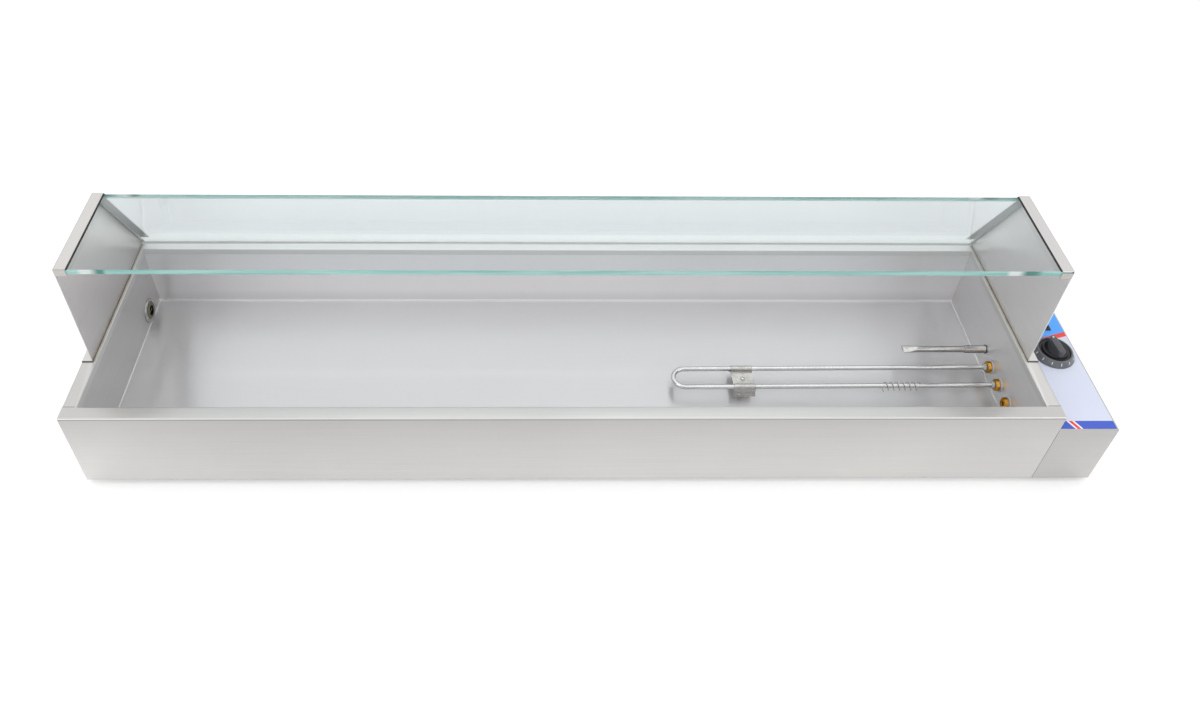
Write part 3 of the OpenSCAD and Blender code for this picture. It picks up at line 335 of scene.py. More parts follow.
def steel(name, dark, light, stretch, smooth, rough, depth, cloud_scale=5.0, tone=(0.0, 300.0, 1.0, 1.0, 1.0),
          line=(-1.0, 0.0, 0.0), painted_under_light=1.0, brush=0.0, metallic=1.0, **plain):
    """Drawn steel. Tone: painted light and shade, as two heights in millimetres, the colour's gain at each, and the
    gain on level tops. Line: a fold's height with the gains of its painted highlight line and its painted shade line.
    Under: painted shade on what faces down, as a gain that paints light when above one. Brush: how far reflections
    smear across a grain that runs along X."""
    material = finish(name, steel_grain, metallic, {
        "Dark": colour(*dark), "Light": colour(*light), "Stretch": stretch, "Smooth": smooth,
        "Rough": rough, "Depth": depth, "Cloud Scale": cloud_scale, "Low": tone[0] * MM, "High": tone[1] * MM,
        "Low Painted Light": tone[2], "High Painted Light": tone[3], "Top Painted Light": tone[4], "Under Painted Light": painted_under_light,
        "Line Height": line[0] * MM, "Painted Highlight Line": line[1], "Painted Shade Line": line[2]}, Anisotropic=brush, **plain)
    if brush:
        tree = material.node_tree
        across = add_node(tree, "ShaderNodeCombineXYZ", {"Y": 1.0, "Z": 1.0}).outputs["Vector"]
        feed(across, tree.nodes["Principled BSDF"].inputs["Tangent"])
    return material


def plastic(name, dark, light, smooth, rough, depth, grain_scale=1500.0):
    return finish(name, moulded, 0.0, {"Dark": colour(*dark), "Light": colour(*light), "Smooth": smooth,
                                       "Rough": rough, "Depth": depth, "Grain Scale": grain_scale})


ALONG_X = (6.0, 700.0, 700.0)
ALONG_Y = (700.0, 6.0, 700.0)
EVEN = (260.0, 260.0, 260.0)
# Casing and front panel are painted lighter low down and darker high up, with lighter level tops: painted light and
# shade.
casing_steel = steel("casing_steel", (0.55, 0.54, 0.53), (0.62, 0.61, 0.595), ALONG_X, 0.28, 0.38, 0.05, 3.0,
                     (8.0, 122.0, 1.1, 0.84, 1.1))
# The front panel's line paints a highlight line and a shade line along its top fold.
front_steel = steel("front_steel", (0.575, 0.565, 0.555), (0.645, 0.635, 0.62), ALONG_X, 0.28, 0.38, 0.05, 3.0,
                    (8.0, 146.0, 1.28, 0.84, 1.1), (148.0, 0.6, 0.42))
# The rear panel, seen through the glass, is painted much lighter than the casing, with a lighter top: painted light.
rear_steel_painted_light = steel("rear_steel_painted_light", (0.76, 0.755, 0.745), (0.84, 0.835, 0.82), ALONG_X, 0.28, 0.38, 0.05, 3.0,
                   (8.0, 146.0, 0.85, 0.85, 1.3), metallic=0.3)
# The end panels differ only in painted light on their level tops, more on the right.
left_end_steel = steel("left_end_steel", (0.62, 0.61, 0.595), (0.7, 0.69, 0.675), ALONG_Y, 0.3, 0.4, 0.05, 4.0,
                       (8.0, 146.0, 1.0, 1.0, 1.04))
right_end_steel = steel("right_end_steel", (0.62, 0.61, 0.595), (0.7, 0.69, 0.675), ALONG_Y, 0.3, 0.4, 0.05, 4.0,
                        (8.0, 146.0, 1.0, 1.0, 1.15))
# Painted light and shade on the guards: the left is darker low down than the right, and both are painted lighter
# towards the top.
left_guard_steel_painted_shade = steel("left_guard_steel_painted_shade", (0.665, 0.648, 0.633), (0.745, 0.727, 0.71), ALONG_Y, 0.32, 0.44, 0.09,
                         4.0, (150.0, 300.0, 0.88, 1.32, 1.12))
right_guard_steel_painted_light = steel("right_guard_steel_painted_light", (0.66, 0.653, 0.645), (0.74, 0.732, 0.72), ALONG_Y, 0.32, 0.44, 0.05,
                          4.0, (150.0, 300.0, 1.15, 1.32, 1.12))
# The ledges' undersides are painted lighter: painted light.
ledge_steel = steel("ledge_steel", (0.46, 0.445, 0.425), (0.54, 0.52, 0.5), ALONG_Y, 0.4, 0.5, 0.05, 4.0, painted_under_light=1.6)
# The tank's walls are painted lighter from the floor up, its level floor a little darker, and a painted highlight line
# runs along the folds at the floor.
tank_steel = steel("tank_steel", (0.752, 0.742, 0.755), (0.784, 0.775, 0.787), ALONG_X, 0.285, 0.3, 0.03, 2.5,
                   (36.0, 60.0, 1.05, 1.22, 0.97), (37.2, 0.35, 0.0), brush=0.93, metallic=0.62)
# The left tank end is painted darker and the right lighter, shaded and lit copies of one steel; each has a painted
# shadow line under the rail's lip.
left_tank_end_steel_painted_shade = steel("left_tank_end_steel_painted_shade", (0.57, 0.56, 0.55), (0.65, 0.64, 0.63), ALONG_Y, 0.4, 0.5, 0.05,
                            3.0, line=(147.4, 0.0, 0.35))
right_tank_end_steel_painted_light = steel("right_tank_end_steel_painted_light", (0.71, 0.7, 0.7), (0.79, 0.78, 0.78), ALONG_Y, 0.4, 0.5, 0.05,
                             3.0, line=(147.4, 0.0, 0.3))
EDGE_DIM = colour(0.12, 0.12, 0.12)
# The under gain paints the lower sides of the heater, probe, spring and brass darker, painted shade, and the bracket's
# underside lighter, painted light.
heater_steel = steel("heater_steel", (0.7, 0.695, 0.69), (0.86, 0.855, 0.85), EVEN, 0.1, 0.2, 0.03, 30.0,
                     painted_under_light=0.4, Specular_Tint=EDGE_DIM)
probe_steel = steel("probe_steel", (0.52, 0.51, 0.49), (0.72, 0.71, 0.695), EVEN, 0.13, 0.24, 0.05, 60.0,
                    painted_under_light=0.3, Specular_Tint=EDGE_DIM)
spring_steel = steel("spring_steel", (0.6, 0.59, 0.58), (0.9, 0.89, 0.88), EVEN, 0.12, 0.22, 0.03, 90.0, painted_under_light=0.4,
                     Specular_Tint=EDGE_DIM)
ring_steel = steel("ring_steel", (0.36, 0.36, 0.36), (0.5, 0.5, 0.5), EVEN, 0.16, 0.28, 0.05, 60.0)
bracket_steel = steel("bracket_steel", (0.5, 0.485, 0.465), (0.7, 0.68, 0.655), EVEN, 0.2, 0.36, 0.12, 90.0, painted_under_light=1.4,
                      Specular_Tint=EDGE_DIM)
fastener_steel = steel("fastener_steel", (0.5, 0.5, 0.5), (0.62, 0.62, 0.62), EVEN, 0.24, 0.36, 0.06, 80.0)
brass = steel("brass", (0.42, 0.17, 0.015), (0.98, 0.58, 0.14), EVEN, 0.1, 0.22, 0.08, 160.0, painted_under_light=0.35,
              Specular_Tint=colour(0.3, 0.25, 0.15))
# Painted shade: the spigot's brass, painted dark olive.
brass_painted_shade = steel("brass_painted_shade", (0.15, 0.135, 0.08), (0.27, 0.24, 0.15), EVEN, 0.26, 0.4, 0.08, 120.0)
# Painted shade: bores and the valve ball, painted near black.
bore_painted_shade = steel("bore_painted_shade", (0.008, 0.008, 0.008), (0.02, 0.02, 0.02), EVEN, 0.5, 0.7, 0.05, 120.0)
copper = steel("copper", (0.5, 0.25, 0.14), (0.66, 0.36, 0.22), EVEN, 0.22, 0.36, 0.05, 60.0)
black_plastic = plastic("black_plastic", (0.012, 0.012, 0.013), (0.026, 0.026, 0.028), 0.32, 0.46, 0.1)
knob_plastic = plastic("knob_plastic", (0.011, 0.011, 0.012), (0.022, 0.022, 0.024), 0.26, 0.38, 0.06)
grey_plastic = plastic("grey_plastic", (0.115, 0.121, 0.136), (0.155, 0.163, 0.18), 0.22, 0.32, 0.04)
# The knob's blade is painted lighter grey than the disc: painted light.
grip_plastic_painted_light = plastic("grip_plastic_painted_light", (0.07, 0.074, 0.084), (0.1, 0.105, 0.118), 0.2, 0.3, 0.05)
black_rubber = plastic("black_rubber", (0.012, 0.012, 0.012), (0.03, 0.03, 0.031), 0.55, 0.75, 0.25, 900.0)
pale_seal = plastic("pale_seal", (0.7, 0.69, 0.67), (0.8, 0.79, 0.77), 0.4, 0.55, 0.08, 600.0)
grey_seal = plastic("grey_seal", (0.34, 0.355, 0.365), (0.44, 0.455, 0.465), 0.35, 0.5, 0.08, 600.0)
# The tan and dark sealant also serve as painted reflection and painted shade along the guards' feet.
tan_sealant_painted_reflection = plastic("tan_sealant_painted_reflection", (0.42, 0.38, 0.32), (0.56, 0.52, 0.45), 0.4, 0.6, 0.2, 500.0)
dark_sealant_painted_shade = plastic("dark_sealant_painted_shade", (0.045, 0.034, 0.024), (0.12, 0.095, 0.068), 0.45, 0.65, 0.2, 500.0)
pale_washer = plastic("pale_washer", (0.44, 0.47, 0.51), (0.56, 0.59, 0.63), 0.3, 0.42, 0.04, 700.0)
white_ceramic = plastic("white_ceramic", (0.72, 0.71, 0.66), (0.83, 0.82, 0.78), 0.35, 0.5, 0.08, 500.0)
thermostat_grey = plastic("thermostat_grey", (0.22, 0.225, 0.235), (0.3, 0.305, 0.315), 0.4, 0.55, 0.1)
wire_blue = plastic("wire_blue", (0.03, 0.045, 0.2), (0.05, 0.075, 0.3), 0.35, 0.5, 0.08)
white_mark = plastic("white_mark", (0.72, 0.72, 0.72), (0.82, 0.82, 0.82), 0.4, 0.5, 0.05)
print("materials so far:", len(bpy.data.materials))

# %% [markdown]
# ## From CAD solid to sheet metal
# A CAD sheet has knife edges, and real folded steel never does: the guillotine and the deburring wheel leave a
# tiny round that catches a line of light. A copy of the CAD mesh is merged into one skin, flat triangles are
# joined into whole faces, and a bevel of a quarter millimetre goes on every sharp edge.


# %% Helpers that turn meshes into pieces
def piece(name, mesh, material, body, slot, *replaced):
    """Link a finished mesh, ride it on a CAD body and hide the CAD nodes it stands for; the slot is not used."""
    if len(mesh.materials) == 0:
        for paint in material if isinstance(material, (list, tuple)) else [material]:
            mesh.materials.append(paint)
    made = bpy.data.objects.new(name, mesh)
    scene.collection.objects.link(made)
    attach(made, body)
    if replaced:
        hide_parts(*replaced)
    return made


def close_up(bm):
    """Merge doubles and turn the faces outwards."""
    bmesh.ops.remove_doubles(bm, verts=bm.verts, dist=1e-7)
    bmesh.ops.recalc_face_normals(bm, faces=bm.faces)
    return bm


def soft_mesh(name, bm, sharp=30.0):
    """A mesh with smooth shading up to an angle."""
    mesh = bpy.data.meshes.new(name)
    bm.to_mesh(mesh)
    bm.free()
    mesh.shade_smooth()
    mesh.set_sharp_from_angle(angle=math.radians(sharp))
    return mesh


def skin(bm, rows, caps=True):
    """Join closed rows of points into faces, row after row, with a cap on either end if asked for."""
    faces = []
    for one, two in zip(rows, rows[1:]):
        for k in range(len(one)):
            j = (k + 1) % len(one)
            faces.append(bm.faces.new((one[k], one[j], two[j], two[k])))
    if caps:
        bm.faces.new(rows[0])
        bm.faces.new(rows[-1])
    return faces


def merged_copy(node):
    """A copy of a CAD node's triangles as one skin with whole flat faces."""
    bm = bmesh.new()
    bm.from_mesh(nodes[node].data)
    bmesh.ops.remove_doubles(bm, verts=bm.verts, dist=2e-6)
    bmesh.ops.dissolve_limit(bm, angle_limit=math.radians(0.4), verts=bm.verts, edges=bm.edges)
    return bm


def dressed(node, material, edge=0.25, steps=2, sharp=30.0, adjust=None):
    """A CAD node's shape with rounded edges and its own finish; adjust can move its points first."""
    bm = merged_copy(node)
    if adjust:
        for vert in bm.verts:
            vert.co = at(*adjust((vert.co - BENCH) / MM))
    mesh = soft_mesh(node + "_finish", bm, sharp)
    made = piece(node + "_finish", mesh, material, body_of_node[node], slot_of_node[node], node)
    rounding = made.modifiers.new("Rounded edges", "BEVEL")
    rounding.width = edge * MM
    rounding.segments = steps
    rounding.limit_method = "ANGLE"
    rounding.angle_limit = math.radians(sharp)
    rounding.harden_normals = True
    return made


# %% Dress the sheet metal
for node, metal in (("front_panel", front_steel), ("base_plate", casing_steel), ("control_cover", casing_steel),
                    ("control_base", casing_steel), ("rear_panel", rear_steel_painted_light), ("left_end_panel", left_end_steel),
                    ("right_end_panel", right_end_steel), ("left_guard_panel", left_guard_steel_painted_shade),
                    ("right_guard_panel", right_guard_steel_painted_light), ("well_tank", tank_steel),
                    ("left_tank_end", left_tank_end_steel_painted_shade), ("right_tank_end", right_tank_end_steel_painted_light)):
    dressed(node, metal)


# %% Dress the glass ledges
def stop_heights(moved):
    """A rule that sets the levels of the small stop in front of the glass, keyed by the CAD levels."""
    stop_back = bench_box("left_guard_panel")[0].y + 0.01

    def rule(point):
        level = next((new for old, new in moved.items() if abs(point.z - old) < 0.02), point.z)
        return Vector((point.x, point.y, level)) if point.y < stop_back else point
    return rule


dressed("left_glass_ledge", ledge_steel, adjust=stop_heights({314.8: 316.6, 323.8: 327.7}))
dressed("right_glass_ledge", ledge_steel, adjust=stop_heights({319.8: 325.0}))

# %% [markdown]
# ## Weld lines inside the tank
# The long walls and the floor are one folded sheet, and an end plate is welded in at each end. The ground weld
# is a small hollow fillet that shows as a bright line. It is swept along the end plate's outline: round the
# front fold, along the floor and round the back fold. The upright seams are ground flush.

# %% Sweep the two fillets
SHEET, FOLD, FOLD_STEPS, WELD_UP = 1.0, 3.5, 8, 2.0
WELD, WELD_STEPS = 1.5, 5
bright_weld = steel("ground_weld", (0.68, 0.675, 0.67), (0.78, 0.775, 0.77), EVEN, 0.2, 0.3, 0.03, 40.0)
tank_low, tank_high = bench_box("well_tank")
front, back, bottom = tank_low.y + SHEET, tank_high.y - SHEET, tank_low.z + SHEET


def fold_arc(middle, start):
    """Points round a fold of the tank, each with its normal."""
    turns = [math.radians(start + 90 * k / FOLD_STEPS) for k in range(1, FOLD_STEPS)]
    return [(middle + FOLD * math.cos(a), bottom + FOLD + FOLD * math.sin(a), -math.cos(a), -math.sin(a))
            for a in turns]


tank_outline = [(front, bottom + FOLD + WELD_UP, 1, 0), (front, bottom + FOLD, 1, 0), *fold_arc(front + FOLD, 180),
                (front + FOLD, bottom, 0, 1), (back - FOLD, bottom, 0, 1), *fold_arc(back - FOLD, 270),
                (back, bottom + FOLD, -1, 0), (back, bottom + FOLD + WELD_UP, -1, 0)]


def fillet_line(name, wall_x, into):
    """A hollow fillet between an end plate and the folded sheet, on the side that into points to."""
    turns = [math.radians(90 * k / WELD_STEPS) for k in range(WELD_STEPS + 1)]
    section = [(WELD - WELD * math.sin(a), WELD - WELD * math.cos(a)) for a in turns] + [(-0.05, -0.05)]
    bm = bmesh.new()
    skin(bm, [[bm.verts.new(at(wall_x + into * along, y + ny * off, z + nz * off)) for along, off in section]
              for y, z, ny, nz in tank_outline])
    return piece(name, soft_mesh(name, close_up(bm), 40), bright_weld, "casing", "tank_steel")


left_wall, right_wall = bench_box("left_tank_end")[1].x, bench_box("right_tank_end")[0].x
fillet_line("left_tank_weld", left_wall, 1)
fillet_line("right_tank_weld", right_wall, -1)
print("tank inside from", round(left_wall, 1), "to", round(right_wall, 1))

# %% [markdown]
# ## Painted shade, sealant and seams on the rail
# Each guard panel stands on the rail, and a bead along its inside, drawn as sealant, is painted shade in the groove
# at its foot: dark where it meets the panel, and tan, a painted reflection of the panel's foot, where it thins out on
# the rail. A second, short bead closes the front end of the foot, and a thin dark line marks where the front rail
# meets each side rail. All are a small section drawn out along a line, with a material index for the dark part.


# %% Draw the beads
def bead(name, section, dark, axis, start, end, side):
    """A closed section of (across, z) points drawn out between two places; the first edges take the dark finish.
    Along x the section's first number is y, and along y it is the distance from the middle of the well."""
    bm = bmesh.new()
    rows = [[bm.verts.new(at(side * a, reach, z) if axis == "y" else at(side * reach, a, z)) for a, z in section]
            for reach in (start, end)]
    for face in skin(bm, rows)[dark:]:
        face.material_index = 1
    piece(name, soft_mesh(name, close_up(bm), 50), [dark_sealant_painted_shade, tan_sealant_painted_reflection], "casing", "casing_steel")


GUARD_IN, BEAD_END = 669.3, 347.0
rail_z = bench_box("right_end_panel")[1].z
guard_out, guard_front = bench_box("right_guard_panel")[1].x, bench_box("right_guard_panel")[0].y
rail_end, front_rail = bench_box("front_panel")[1].x, bench_box("front_panel")[1].y


def off_rail(start, *offsets):
    return [(start + across, rail_z + up) for across, up in offsets]


# The inside bead is painted shade in the groove at the guard's foot, dark next to the panel, and a tan painted
# reflection on the rail.
inside_painted_shade_bead = off_rail(GUARD_IN, (1.0, 0.9), (-0.05, 0.9), (-0.55, 0.7), (-1.6, 0.45), (-2.8, 0.12), (-2.95, -0.02),
                       (1.0, -0.02))
front_bead = off_rail(guard_front, (0.3, 1.35), (-0.5, 1.25), (-1.1, 0.8), (-1.4, -0.02), (0.3, -0.02))
seam = off_rail(front_rail, (-0.3, 0.04), (0.4, 0.04), (0.4, -0.05), (-0.3, -0.05))
SIDES = ((-1, "left"), (1, "right"))
for side, word in SIDES:
    bead(word + "_guard_bead", inside_painted_shade_bead, 2, "y", guard_front + 0.8, BEAD_END, side)
    bead(word + "_foot_bead", front_bead, 5, "x", GUARD_IN + 0.3, guard_out - 0.2, side)
for side, word in SIDES:
    bead(word + "_rail_seam", seam, 4, "x", right_wall, rail_end - 0.4, side)
print("beads on the rail at", round(rail_z, 1))

# %% [markdown]
# ## Glass
# The two panes are plain float glass with ground and polished edges. Light that enters the face leaves clear,
# and light that runs along the pane leaves through the edge green, so faces and edges get materials of their own.
# The top pane's edges are the deepest green, the rear pane's are pale, and the rear pane's upper edge lies between
# the two. Lamps reach what is behind the glass through a Transparent shader for shadow rays. The seals are black
# in front and grey at the back.


# %% Glass materials
def pane_glass(name, tint, roughness):
    material, tree, shader = bare_material(name, 0.0, Base_Color=colour(*tint), Transmission_Weight=1.0, IOR=1.45,
                                           Roughness=roughness)
    mixer = add_node(tree, "ShaderNodeMixShader", {
        0: add_node(tree, "ShaderNodeLightPath").outputs["Is Shadow Ray"], 1: shader.outputs["BSDF"],
        2: add_node(tree, "ShaderNodeBsdfTransparent").outputs["BSDF"]})
    feed(mixer.outputs["Shader"], tree.nodes["Material Output"].inputs["Surface"])
    return material


PATCH_HALF = 700.0 * MM


def edge_glass(name, deep, pale, patches=()):
    """Green edge: a slow noise along the pane varies it, and patches of painted reflection (x in millimetres, colour,
    weight) lie over it."""
    material, tree, shader = bare_material(name, 0.0, Transmission_Weight=0.25, IOR=1.45, Roughness=0.12)
    where = add_node(tree, "ShaderNodeTexCoord").outputs["Object"]
    squeeze = add_node(tree, "ShaderNodeMapping", {"Vector": where, "Scale": (7.0, 40.0, 160.0)})
    mottle = add_node(tree, "ShaderNodeTexNoise", {"Vector": squeeze.outputs["Vector"], "Scale": 1.0, "Detail": 3.0})
    ramp = add_node(tree, "ShaderNodeValToRGB", {"Fac": mottle.outputs["Fac"]})
    for stop, position, tint in zip(ramp.color_ramp.elements, (0.3, 0.62), (deep, pale)):
        stop.position, stop.color = position, colour(*tint)
    edge_colour = ramp.outputs["Color"]
    if patches:
        share = range_node(split_xyz(where)["X"], BENCH.x - PATCH_HALF, BENCH.x + PATCH_HALF)
        spread = add_node(tree, "ShaderNodeValToRGB", {"Fac": share})
        stops = spread.color_ramp.elements
        for k, (x, tint, weight) in enumerate(patches):
            stop = stops[k] if k < 2 else stops.new(0.99)
            stop.position = (x * MM + PATCH_HALF) / (2 * PATCH_HALF)
            stop.color = (*tint, weight)
        edge_colour = mix_colour(spread.outputs["Alpha"], edge_colour, spread.outputs["Color"])
    feed(edge_colour, shader.inputs["Base Color"])
    return material


def painted_reflection_patch(pale_from, pale_to, dark_to):
    """A painted reflection: a pale patch followed by a dark one, where the edge shows the steel behind it."""
    white, teal = (0.86, 0.94, 0.92), (0.07, 0.24, 0.21)
    return [(pale_from - 4, white, 0.0), (pale_from, white, 0.9), (pale_to, white, 0.92), (pale_to + 1, teal, 0.95),
            (dark_to - 3, teal, 0.9), (dark_to + 1, teal, 0.0)]


clear_glass = pane_glass("clear_glass", (0.895, 0.93, 0.937), 0.0)
# The top pane's edges carry painted reflections: a pale and a dark patch near each end.
green_edge = edge_glass("green_glass_edge", (0.22, 0.52, 0.48), (0.46, 0.76, 0.72),
                        painted_reflection_patch(-636.0, -618.5, -603.0) + painted_reflection_patch(584.0, 601.0, 625.0))
back_edge = edge_glass("back_glass_edge", (0.5, 0.81, 0.77), (0.8, 0.97, 0.94))
pale_edge = edge_glass("pale_glass_edge", (0.74, 0.93, 0.9), (0.93, 0.99, 0.98))

# %% Make the panes and their seals
ARRIS, CROWN = 0.7, 9.0
SEAL_SPLIT = 262.0


def pane(node, edge, upper):
    """A pane with narrow ground arrises; the two broad faces are clear, and the upper edge can differ from the
    rest."""
    bm = merged_copy(node)
    bmesh.ops.bevel(bm, geom=list(bm.edges), offset=ARRIS * MM, segments=1, affect="EDGES", profile=0.5)
    bmesh.ops.recalc_face_normals(bm, faces=bm.faces)
    broad = sorted(bm.faces, key=lambda f: f.calc_area())[-2:]
    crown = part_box(node)[1].z - CROWN * MM
    for face in bm.faces:
        face.material_index = 0 if face in broad else 2 if face.calc_center_median().z > crown else 1
    mesh = bpy.data.meshes.new(node + "_pane")
    bm.to_mesh(mesh)
    bm.free()
    return piece(node + "_pane", mesh, [clear_glass, edge, upper], "casing", "glass", node)


for node, edge, upper in (("top_glass", green_edge, green_edge), ("rear_glass", pale_edge, back_edge)):
    made = pane(node, edge, upper)
    print(made.name, len(made.data.polygons), "faces")
seals = dressed("glass_seals", [black_rubber, grey_seal], 0.2)
for face in seals.data.polygons:
    face.material_index = 1 if face.center.y > at(0, SEAL_SPLIT, 0).y else 0
dressed("glass_foot_seal", pale_seal, 0.2)

# %% [markdown]
# ## Tubes along a path
# The heater and the loose spring are round stock along a line. A Geometry Nodes tree turns any chain of edges
# into a smooth tube: it has a radius and a number of sides as named inputs. The result is then made a plain
# mesh. The long heater hangs a little towards its bend, as a thin tube held at one end does, and its bracket and
# spring hang with it.


# %% The tube tree
def geometry_tree(name, *inputs):
    """A Geometry Nodes tree with its own named inputs and one for the material."""
    return node_group(name, "GeometryNodeTree", (("Geometry", "Geometry", None), *inputs, ("Paint", "Material", None)),
                      (("Geometry", "Geometry"),))


def end_tree(geometry, tree_in, tree_out):
    """The end of every tree: instances made real and the material set."""
    tree = geometry.id_data
    real = add_node(tree, "GeometryNodeRealizeInstances", {"Geometry": geometry}).outputs["Geometry"]
    coated = add_node(tree, "GeometryNodeSetMaterial", {"Geometry": real, "Material": tree_in["Paint"]})
    feed(coated.outputs["Geometry"], tree_out["Geometry"])


tube_tree, tube_in, tube_out = geometry_tree("Swept tube", ("Radius", "Float", 0.0035), ("Sides", "Int", 24))
to_curve = add_node(tube_tree, "GeometryNodeMeshToCurve", {"Mesh": tube_in["Geometry"]})
ring = add_node(tube_tree, "GeometryNodeCurvePrimitiveCircle", {
    "Radius": tube_in["Radius"], "Resolution": tube_in["Sides"]})
sweep = add_node(tube_tree, "GeometryNodeCurveToMesh", {
    "Curve": to_curve.outputs["Curve"], "Profile Curve": ring.outputs["Curve"], "Fill Caps": True})
soft = add_node(tube_tree, "GeometryNodeSetShadeSmooth", {"Geometry": sweep.outputs["Mesh"]})
end_tree(soft.outputs["Geometry"], tube_in, tube_out)


def grown(name, base_mesh, tree, values):
    """Run a Geometry Nodes tree on a base mesh and return the result as a plain mesh."""
    carrier = bpy.data.objects.new(name + "_carrier", base_mesh)
    scene.collection.objects.link(carrier)
    growth = carrier.modifiers.new("Grow", "NODES")
    growth.node_group = tree
    identifiers = {item.name: item.identifier for item in tree.interface.items_tree if item.in_out == "INPUT"}
    for key, value in values.items():
        growth[identifiers[key]] = value
    bpy.context.view_layer.update()
    made = bpy.data.meshes.new_from_object(carrier.evaluated_get(bpy.context.evaluated_depsgraph_get()))
    made.name = name
    carrier.modifiers.remove(growth)
    bpy.data.objects.remove(carrier)
    return made


def tube(name, points, radius, material, sides):
    """A swept tube mesh along bench points, with sharp rims at its two caps."""
    chain = bpy.data.meshes.new("chain")
    chain.from_pydata([at(*p) for p in points], [(k, k + 1) for k in range(len(points) - 1)], [])
    bm = bmesh.new()
    bm.from_mesh(grown(name, chain, tube_tree, {"Radius": radius * MM, "Sides": sides, "Paint": material}))
    return soft_mesh(name, close_up(bm), 50)


# %% The heating element
def span(node):
    """The size of a CAD node's box in bench millimetres."""
    low, high = bench_box(node)
    return high - low


def middle(node):
    """The middle of a CAD node's box in bench millimetres."""
    low, high = bench_box(node)
    return (low + high) / 2


LEG_STEPS, BEND_STEPS, DROOP, HELD = 40, 40, 4.5, 12.0
element_low, element_high = bench_box("heating_element")
element_r, element_z = span("heating_element").z / 2, middle("heating_element").z
leg_front, leg_back = element_low.y + element_r, element_high.y - element_r
leg_mid, bend_r = (leg_front + leg_back) / 2, (leg_back - leg_front) / 2
bend_x = element_low.x + element_r + bend_r


def sag(x):
    """How far the long element hangs below its fittings, most at the bend."""
    return DROOP * max(0.0, (right_wall - HELD - x) / (right_wall - HELD - element_low.x))


def leg_run(y, start, end):
    return [(start + (end - start) * k / LEG_STEPS, y) for k in range(LEG_STEPS + 1)]


bend_run = [(bend_x - bend_r * math.sin(math.pi * k / BEND_STEPS),
             leg_mid + bend_r * math.cos(math.pi * k / BEND_STEPS)) for k in range(1, BEND_STEPS)]
element_run = leg_run(leg_back, element_high.x, bend_x) + bend_run + leg_run(leg_front, bend_x, element_high.x)
element_mesh = tube("heater_tube", [(x, y, element_z - sag(x)) for x, y in element_run], element_r, heater_steel, 32)
piece("heater_tube", element_mesh, heater_steel, "casing", "element_steel", "heating_element")
print("heater legs at y", round(leg_front, 1), round(leg_back, 1), "height", round(element_z, 1))

# %% The bracket on the legs
bracket_x = middle("bracket_strap").x
for node in ("bracket_strap", "bracket_clamp"):
    dressed(node, bracket_steel, 0.15, adjust=lambda point: Vector((point.x, point.y, point.z - sag(bracket_x))))

# %% The loose spring
SPRING_TURNS, SPRING_PITCH, SPRING_WIRE, SPRING_RINGS = 6.5, 8.6, 1.25, 28
SPRING_GAP, SPRING_REST = 2.0, 0.3
spring_low, spring_high = bench_box("element_spring")
spring_r = element_r + SPRING_GAP + SPRING_WIRE / 2
spring_z = element_z - (SPRING_GAP - SPRING_REST) - sag(spring_high.x)
spring_start = spring_high.x - SPRING_WIRE / 2 - SPRING_TURNS * SPRING_PITCH
spring_path = [(spring_start, leg_front - tail, spring_z - spring_r) for tail in (6.0, 3.0)]
for k in range(int(SPRING_TURNS * SPRING_RINGS) + 1):
    turn = k / SPRING_RINGS
    a = math.radians(270 + 360 * turn)
    spring_path.append((spring_start + SPRING_PITCH * turn, leg_front + spring_r * math.cos(a),
                        spring_z + spring_r * math.sin(a)))
spring_mesh = tube("loose_spring", spring_path, SPRING_WIRE / 2, spring_steel, 12)
piece("loose_spring", spring_mesh, spring_steel, "casing", "element_steel", "element_spring")
print("spring from", round(spring_start, 1), "box", round(spring_low.x, 1), round(spring_high.x, 1))

# %% [markdown]
# ## Turned and hexagonal parts
# Brass fittings, nuts, feet, the bezel and the knob all come off a lathe. One helper stacks rings of points
# round an axis. A ring can be a plain radius and height, or a rule of the angle, and such a rule gives a
# hexagon with the curved chamfer that a lathe leaves on its corners.

# %% Rings round an axis
AXES = {"Z": Matrix.Identity(3), "X": Matrix(((0, 0, 1), (1, 0, 0), (0, 1, 0))),
        "Y": Matrix(((0, 1, 0), (0, 0, 1), (1, 0, 0)))}
RIM, CORNER_SLOPE, BORE_EDGE = 0.15, 0.55, 0.5


def rings(bm, stack, centre, axis="Z", sides=48, looped=False, place=at):
    """Skin a stack of rings; looped joins the last ring to the first, for a part with a bore."""
    rows = []
    for entry in stack:
        row = []
        for k in range(sides):
            a = 2 * math.pi * k / sides
            radius, height = entry(a) if callable(entry) else entry
            spot = AXES[axis] @ Vector((radius * math.cos(a), radius * math.sin(a), height))
            row.append(bm.verts.new(place(*(Vector(centre) + spot))))
        rows.append(row)
    skin(bm, rows + rows[:1] if looped else rows, caps=False)


def hex_radius(flats, a):
    return flats / 2 / math.cos((a + math.pi / 6) % (math.pi / 3) - math.pi / 6)


def hexagon(flats, low, high, bore):
    """Rings of a hexagon nut between two heights, with a lathe chamfer at either end and a bore."""
    rim = flats / 2 - RIM

    def corner(a, end, inward):
        radius = hex_radius(flats, a)
        return radius, end + inward * (radius - rim) * CORNER_SLOPE
    return [(bore + BORE_EDGE, low), (rim, low), lambda a: corner(a, low, 1), lambda a: corner(a, high, -1),
            (rim, high), (bore + BORE_EDGE, high), (bore, high - BORE_EDGE), (bore, low + BORE_EDGE)]


def thread(radius, start, end, pitch=1.8, depth=0.7):
    """Profile points of a thread between two heights, as rings."""
    count = max(1, int(abs(end - start) / pitch))
    step = (end - start) / count
    points = []
    for k in range(count):
        points += [(radius - depth, start + step * k), (radius, start + step * (k + 0.35)),
                   (radius, start + step * (k + 0.65))]
    return points + [(radius - depth, end)]


